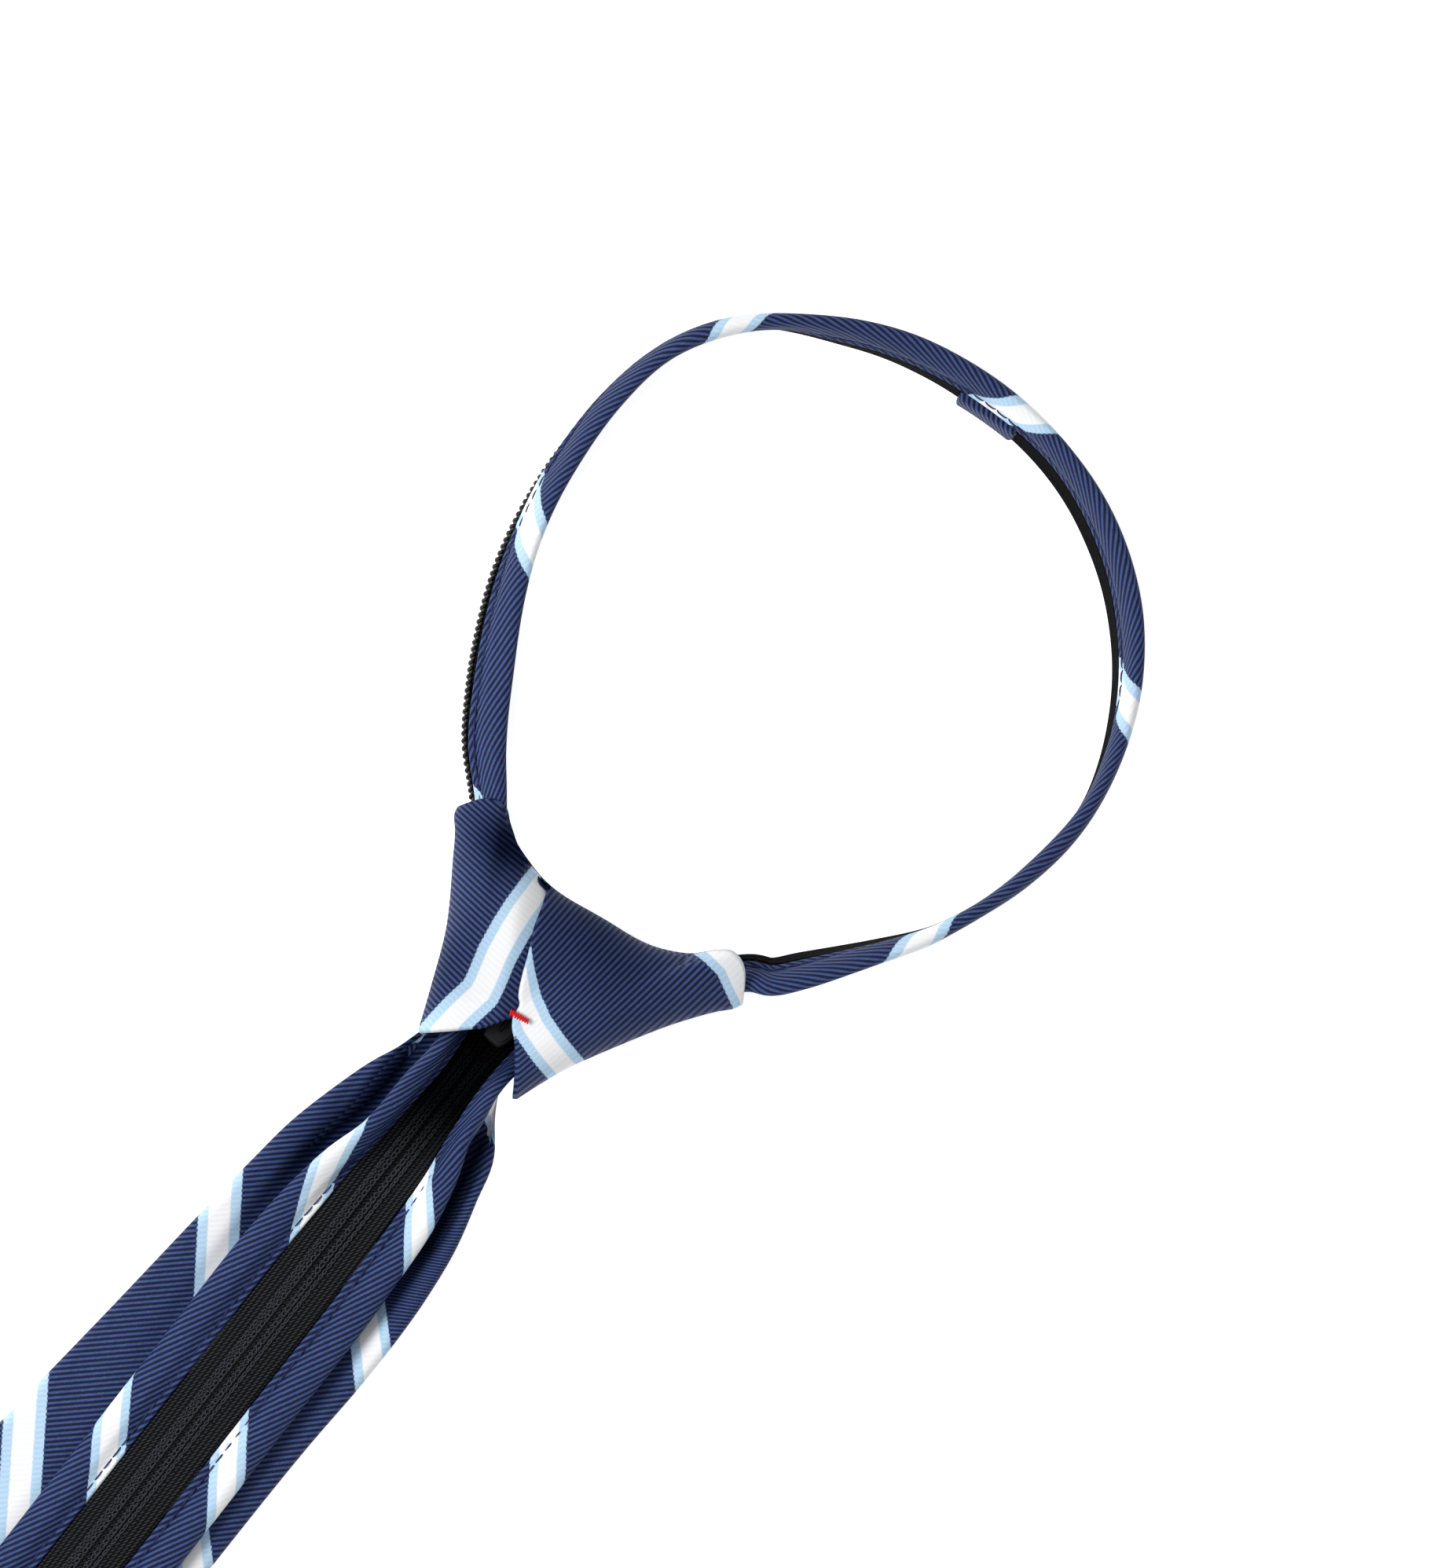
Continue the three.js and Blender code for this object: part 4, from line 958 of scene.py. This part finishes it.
def knot():
    """The wrap, a tube of cloth whose right panel laps over the left one behind."""
    up = np.concatenate([np.linspace(1, 0.88, 18), np.linspace(0.872, 0.04, 104), [0.03, 0.02, 0.01, 0]])
    seam = table_at(KNOT_SEAM, 1, up)
    shares, face, lapped, under = knot_grid(up, seam)
    ups = np.repeat(up[:, None], shares.shape[1], 1)
    past_seam = shares - seam[:, None]
    outer, inner = (knot_point(ups, shares, face, inset) for inset in (0, CLOTH))
    drop = under * 1.2 - lapped * (1 - smooth(past_seam, 0.0, 0.3)) * 0.2
    x, y = outer[..., 0].copy(), outer[..., 1].copy()
    ripple = 0.2 * np.sin(x / 4.1 + y / 6.3) + 0.16 * np.sin(x / 7.7 - y / 4.7 + 1)
    tuck = -0.5 * bell(y + 27 - 0.35 * (x + 8), 1.6) * (1 - lapped) * (face > 0) * smooth(x, -16, -6)
    cleft = blot(x, y, CLEFT, CLEFT_SPREAD)
    for grid in (outer, inner):
        grid[..., 2] -= drop * face
        grid[..., 2] += (ripple * face + tuck) * np.clip(1 - np.abs(shares) ** 6, 0, 1)
        grid[..., 2] -= CLEFT_DEPTH * cleft * (1 - lapped) * (face > 0)
    stripe, rib, run = knot_pattern(x, y, face, lapped, cleft)
    # Painted shade on the back of the wrap.
    shade = np.clip(knot_shade(x, y, past_seam, lapped, cleft) * (face > 0), 0, 0.95)
    return folded_piece("knot_cloth", outer, inner, "knot_wrap", stripe, rib, run, shade)


# The blade


# The blade's stripes: their period, where one meets the back's two edges and the front's right one, and their slopes.
BLADE_PERIOD = 57.2
EDGE_LEFT, EDGE_RIGHT, FRONT_RIGHT = -90.8, -100.4, -43.2
FLAP_LEFT, FLAP_RIGHT = 1.27, 1.0
# The deep folds where the flaps dive under the strips: heights, how far out each is on the left and right, and depth.
VALLEY_ROWS = ((-300, 17, 18, 0), (-130, 16, 18.2, 0.2), (-100, 15.5, 18, 0.7), (-80, 14.8, 17, 1.6),
               (-70, 13.6, 16.2, 2.2), (-60, 11.4, 14.2, 2.6), (-50, 10.5, 12.4, 2.7), (-42, 10.7, 10.9, 2.4),
               (-36, 10, 10, 1))
BLADE_TOP, BLADE_LAST = BLADE_ROWS[0][0], BLADE_ROWS[-1][0]
FLAP_COLUMNS, BLADE_FRONT_COLUMNS = 26, 80


def blade_grid(down, half):
    """Shares across the blade, from one flap's hem round the front to the other's, and the faces."""
    seam = np.minimum(np.maximum(0.2, (half - HEM_WIDTH) * smooth(down, 0.72, BLADE_LAST)) / half, 0.6)
    t = eased(np.linspace(0, 1, FLAP_COLUMNS), 2.0)
    front = both_ways(BLADE_FRONT_COLUMNS, 1.5)
    shares = np.array([np.concatenate([-s + (-1 + s) * t, front, (s + (1 - s) * t)[::-1]]) for s in seam])
    face = np.ones_like(shares)
    face[:, FLAP_COLUMNS:-FLAP_COLUMNS] = -1
    return shares, face


def blade_surface(down, half, shares, face, col, inset):
    fold = np.minimum(BLADE_THICK * (1 + col["roll"]), 1.6 * half) / 2
    start = 1 - fold / half
    past = np.clip((np.abs(shares) - start) / (1 - start), 0, 1)
    thick = BLADE_THICK + smooth(np.abs(shares), 0.45, 0.85) * col["roll"] * BLADE_THICK
    bottom = BLADE_THICK * (col["rise"] + col["curl"] * np.abs(shares) ** 3)
    z = bottom + thick / 2 + face * (thick / 2 - inset) * np.sqrt(1 - past * past)
    x = BLADE_WIDTH * col["drift"] + shares * (half - inset)
    y = -KNOT_HEIGHT - BLADE_LENGTH * np.repeat(down[:, None], shares.shape[1], 1)
    return np.stack([x, y, z], -1)


def blade_pattern(x, y, shares, face, col):
    """Stripe distance, rib and run coordinates. Each flap carries the front's stripes on from its folded edge."""
    middle, full = BLADE_WIDTH * col["drift"], BLADE_WIDTH / 2 * col["half"]
    slope = np.where(shares < 0, FLAP_LEFT, FLAP_RIGHT)
    at_edge = np.where(shares < 0, EDGE_LEFT, EDGE_RIGHT)
    front_slope = (FRONT_RIGHT - EDGE_LEFT) / (2 * full)
    on_front = (y - EDGE_LEFT) - front_slope * (x - middle + full)
    height = np.where(face < 0, on_front, (y - at_edge) + slope * (x - (middle + np.sign(shares) * full)))
    height = np.abs((height + BLADE_PERIOD / 2) % BLADE_PERIOD - BLADE_PERIOD / 2)
    stripe = height / np.hypot(1, np.where(face < 0, front_slope, slope))
    stripe = np.where((face > 0) & (x < 0) & (y > -62), PLAIN, stripe)
    tilt = np.radians(np.where(shares < 0, 43, 45 + 28 * smooth(y, -95, -55)))
    rib_front = x * math.sin(math.radians(45)) + y * math.cos(math.radians(45))
    rib = np.where(face < 0, rib_front, x * np.sin(tilt) - y * np.cos(tilt))
    return stripe, rib, np.where(face < 0, x - y, x + y) * 0.7071


def blade():
    """The blade, a flattened sleeve whose flaps meet behind and part towards the point."""
    down = np.concatenate([np.linspace(BLADE_TOP, 0.3, 130), np.linspace(0.304, BLADE_LAST, 140),
                           np.linspace(0.904, 0.996, 24)])
    row = blade_rows(np.minimum(down, BLADE_LAST))
    half = BLADE_WIDTH / 2 * row["half"] * np.where(down > BLADE_LAST, (1 - down) / (1 - BLADE_LAST), 1)
    shares, face = blade_grid(down, half)
    col = {key: value[:, None] for key, value in row.items()}
    outer, inner = (blade_surface(down, half[:, None], shares, face, col, inset) for inset in (0, CLOTH))
    x, y = outer[..., 0].copy(), outer[..., 1].copy()
    valley = np.where(x < 0, table_at(VALLEY_ROWS, 1, y), table_at(VALLEY_ROWS, 2, y))
    depth = table_at(VALLEY_ROWS, 3, y)
    hollow = bell(np.abs(x) - valley, 1.9) * (face > 0)
    mouth = bell(y + 50, 13) * (face > 0) * (1 - np.abs(shares) ** 8)
    pleat = 0.45 * mouth * np.sin(x * 1.3 + 0.1 * y) * smooth(np.abs(x), valley, valley + 2)
    wave = 0.25 * np.sin(x / 5.7 + y / 17) * np.sin(y / 23 + 1) * smooth(-y, 60, 120) * (1 - shares**4) * face
    for grid in (outer, inner):
        grid[..., 2] += np.clip(pleat - depth * hollow + wave, -3, 1)
    inner[..., 2] = np.where(face > 0, np.minimum(inner[..., 2], outer[..., 2] - 0.5), inner[..., 2])
    stripe, rib, run = blade_pattern(x, y, shares, face, col)
    # Painted shade in the folds beside the strips, where the flaps dive under them.
    beside = bell(np.abs(x) - valley + 1.3, 1.7) * (face > 0) * (1 - 0.85 * smooth(-y, 78, 125))
    shade = np.maximum(0.9 * hollow * np.clip(depth / 2, 0, 1), 0.75 * beside)
    shade = shade * np.where(x > 0, smooth(-y, 45, 51), 1)
    return folded_piece("blade_cloth", outer, inner, "blade", stripe, rib, run, shade)


# The studio


FLOOR_HALF, FLOOR_DROP, FLOOR_GLOW, WORLD_LIGHT = 3.0, 0.0005, 0.75, 0.42
LIGHTS = (("key", (-0.74, -0.42, 0.82), 0.55, 12.4), ("top", (-0.1, -0.1, 1.3), 1.2, 2.5))  # place, size and power


def view(centre):
    data = bpy.data.cameras.new("camera")
    data.sensor_fit = "HORIZONTAL"
    data.sensor_width = SENSOR
    data.lens = SENSOR * (VIEW_HEIGHT - VIEW_PLANE) / VIEW_WIDTH
    data.clip_start, data.clip_end = 0.01, 20
    camera = put("camera", data)
    camera.location = (centre[0], centre[1], VIEW_HEIGHT * MM)
    camera.rotation_euler = (0, 0, math.radians(VIEW_TURN))
    bpy.context.scene.camera = camera


def paper_floor():
    mesh = bpy.data.meshes.new("floor")
    s = FLOOR_HALF
    mesh.from_pydata([(-s, -s, 0), (s, -s, 0), (s, s, 0), (-s, s, 0)], [], [(0, 1, 2, 3)])
    n = Nodes("floor_paper")
    grain = n.noise(60.0)
    glow = {"Emission_Color": (1.0, 1.0, 1.0, 1.0), "Emission_Strength": FLOOR_GLOW}
    paper = n.mix(grain, (0.78, 0.78, 0.79, 1), (0.82, 0.82, 0.82, 1))
    mesh.materials.append(n.finish(paper, 0.9, grain, 0.02, **glow))
    floor = put("floor", mesh)
    floor.location.z = -FLOOR_DROP


def studio():
    """The camera, a white paper floor, a white world and two soft lights."""
    scene = bpy.context.scene
    scene.view_settings.view_transform = "Standard"
    centre = place([(*VIEW_CENTRE, 0)])[0]
    view(centre)
    paper_floor()
    world = bpy.data.worlds.new("studio")
    world.use_nodes = True
    background = world.node_tree.nodes["Background"]
    background.inputs[0].default_value = (1, 1, 1, 1)
    background.inputs[1].default_value = WORLD_LIGHT
    scene.world = world
    for name, at, size, power in LIGHTS:
        light = bpy.data.lights.new(name, "AREA")
        light.size, light.energy = size, power
        lamp = put(name, light)
        lamp.location = Vector(at) + Vector(centre)
        lamp.rotation_euler = (-Vector(at)).to_track_quat("-Z", "Y").to_euler()


studio()
blade_cloth, knot_cloth, band_cloth = blade(), knot(), neckband()
band_stitches = stitches()
tab_start, tab_end = TAB_AT - TAB_LENGTH / 2, TAB_AT + TAB_LENGTH / 2
left_tape = tape("zipper_tape_left", 0, tab_start + 1)
right_tape = tape("zipper_tape_right", tab_end - 1, RUN_LENGTH)
left_coil = coil("zipper_coil_left", 0, tab_start, 0.0)
right_coil = coil("zipper_coil_right", tab_end, RUN_LENGTH, 0.5)
chains, tab_cloth, end_cloth = chain_stitches(), neck_tab(), tail_end()
bar_tack()
slider()
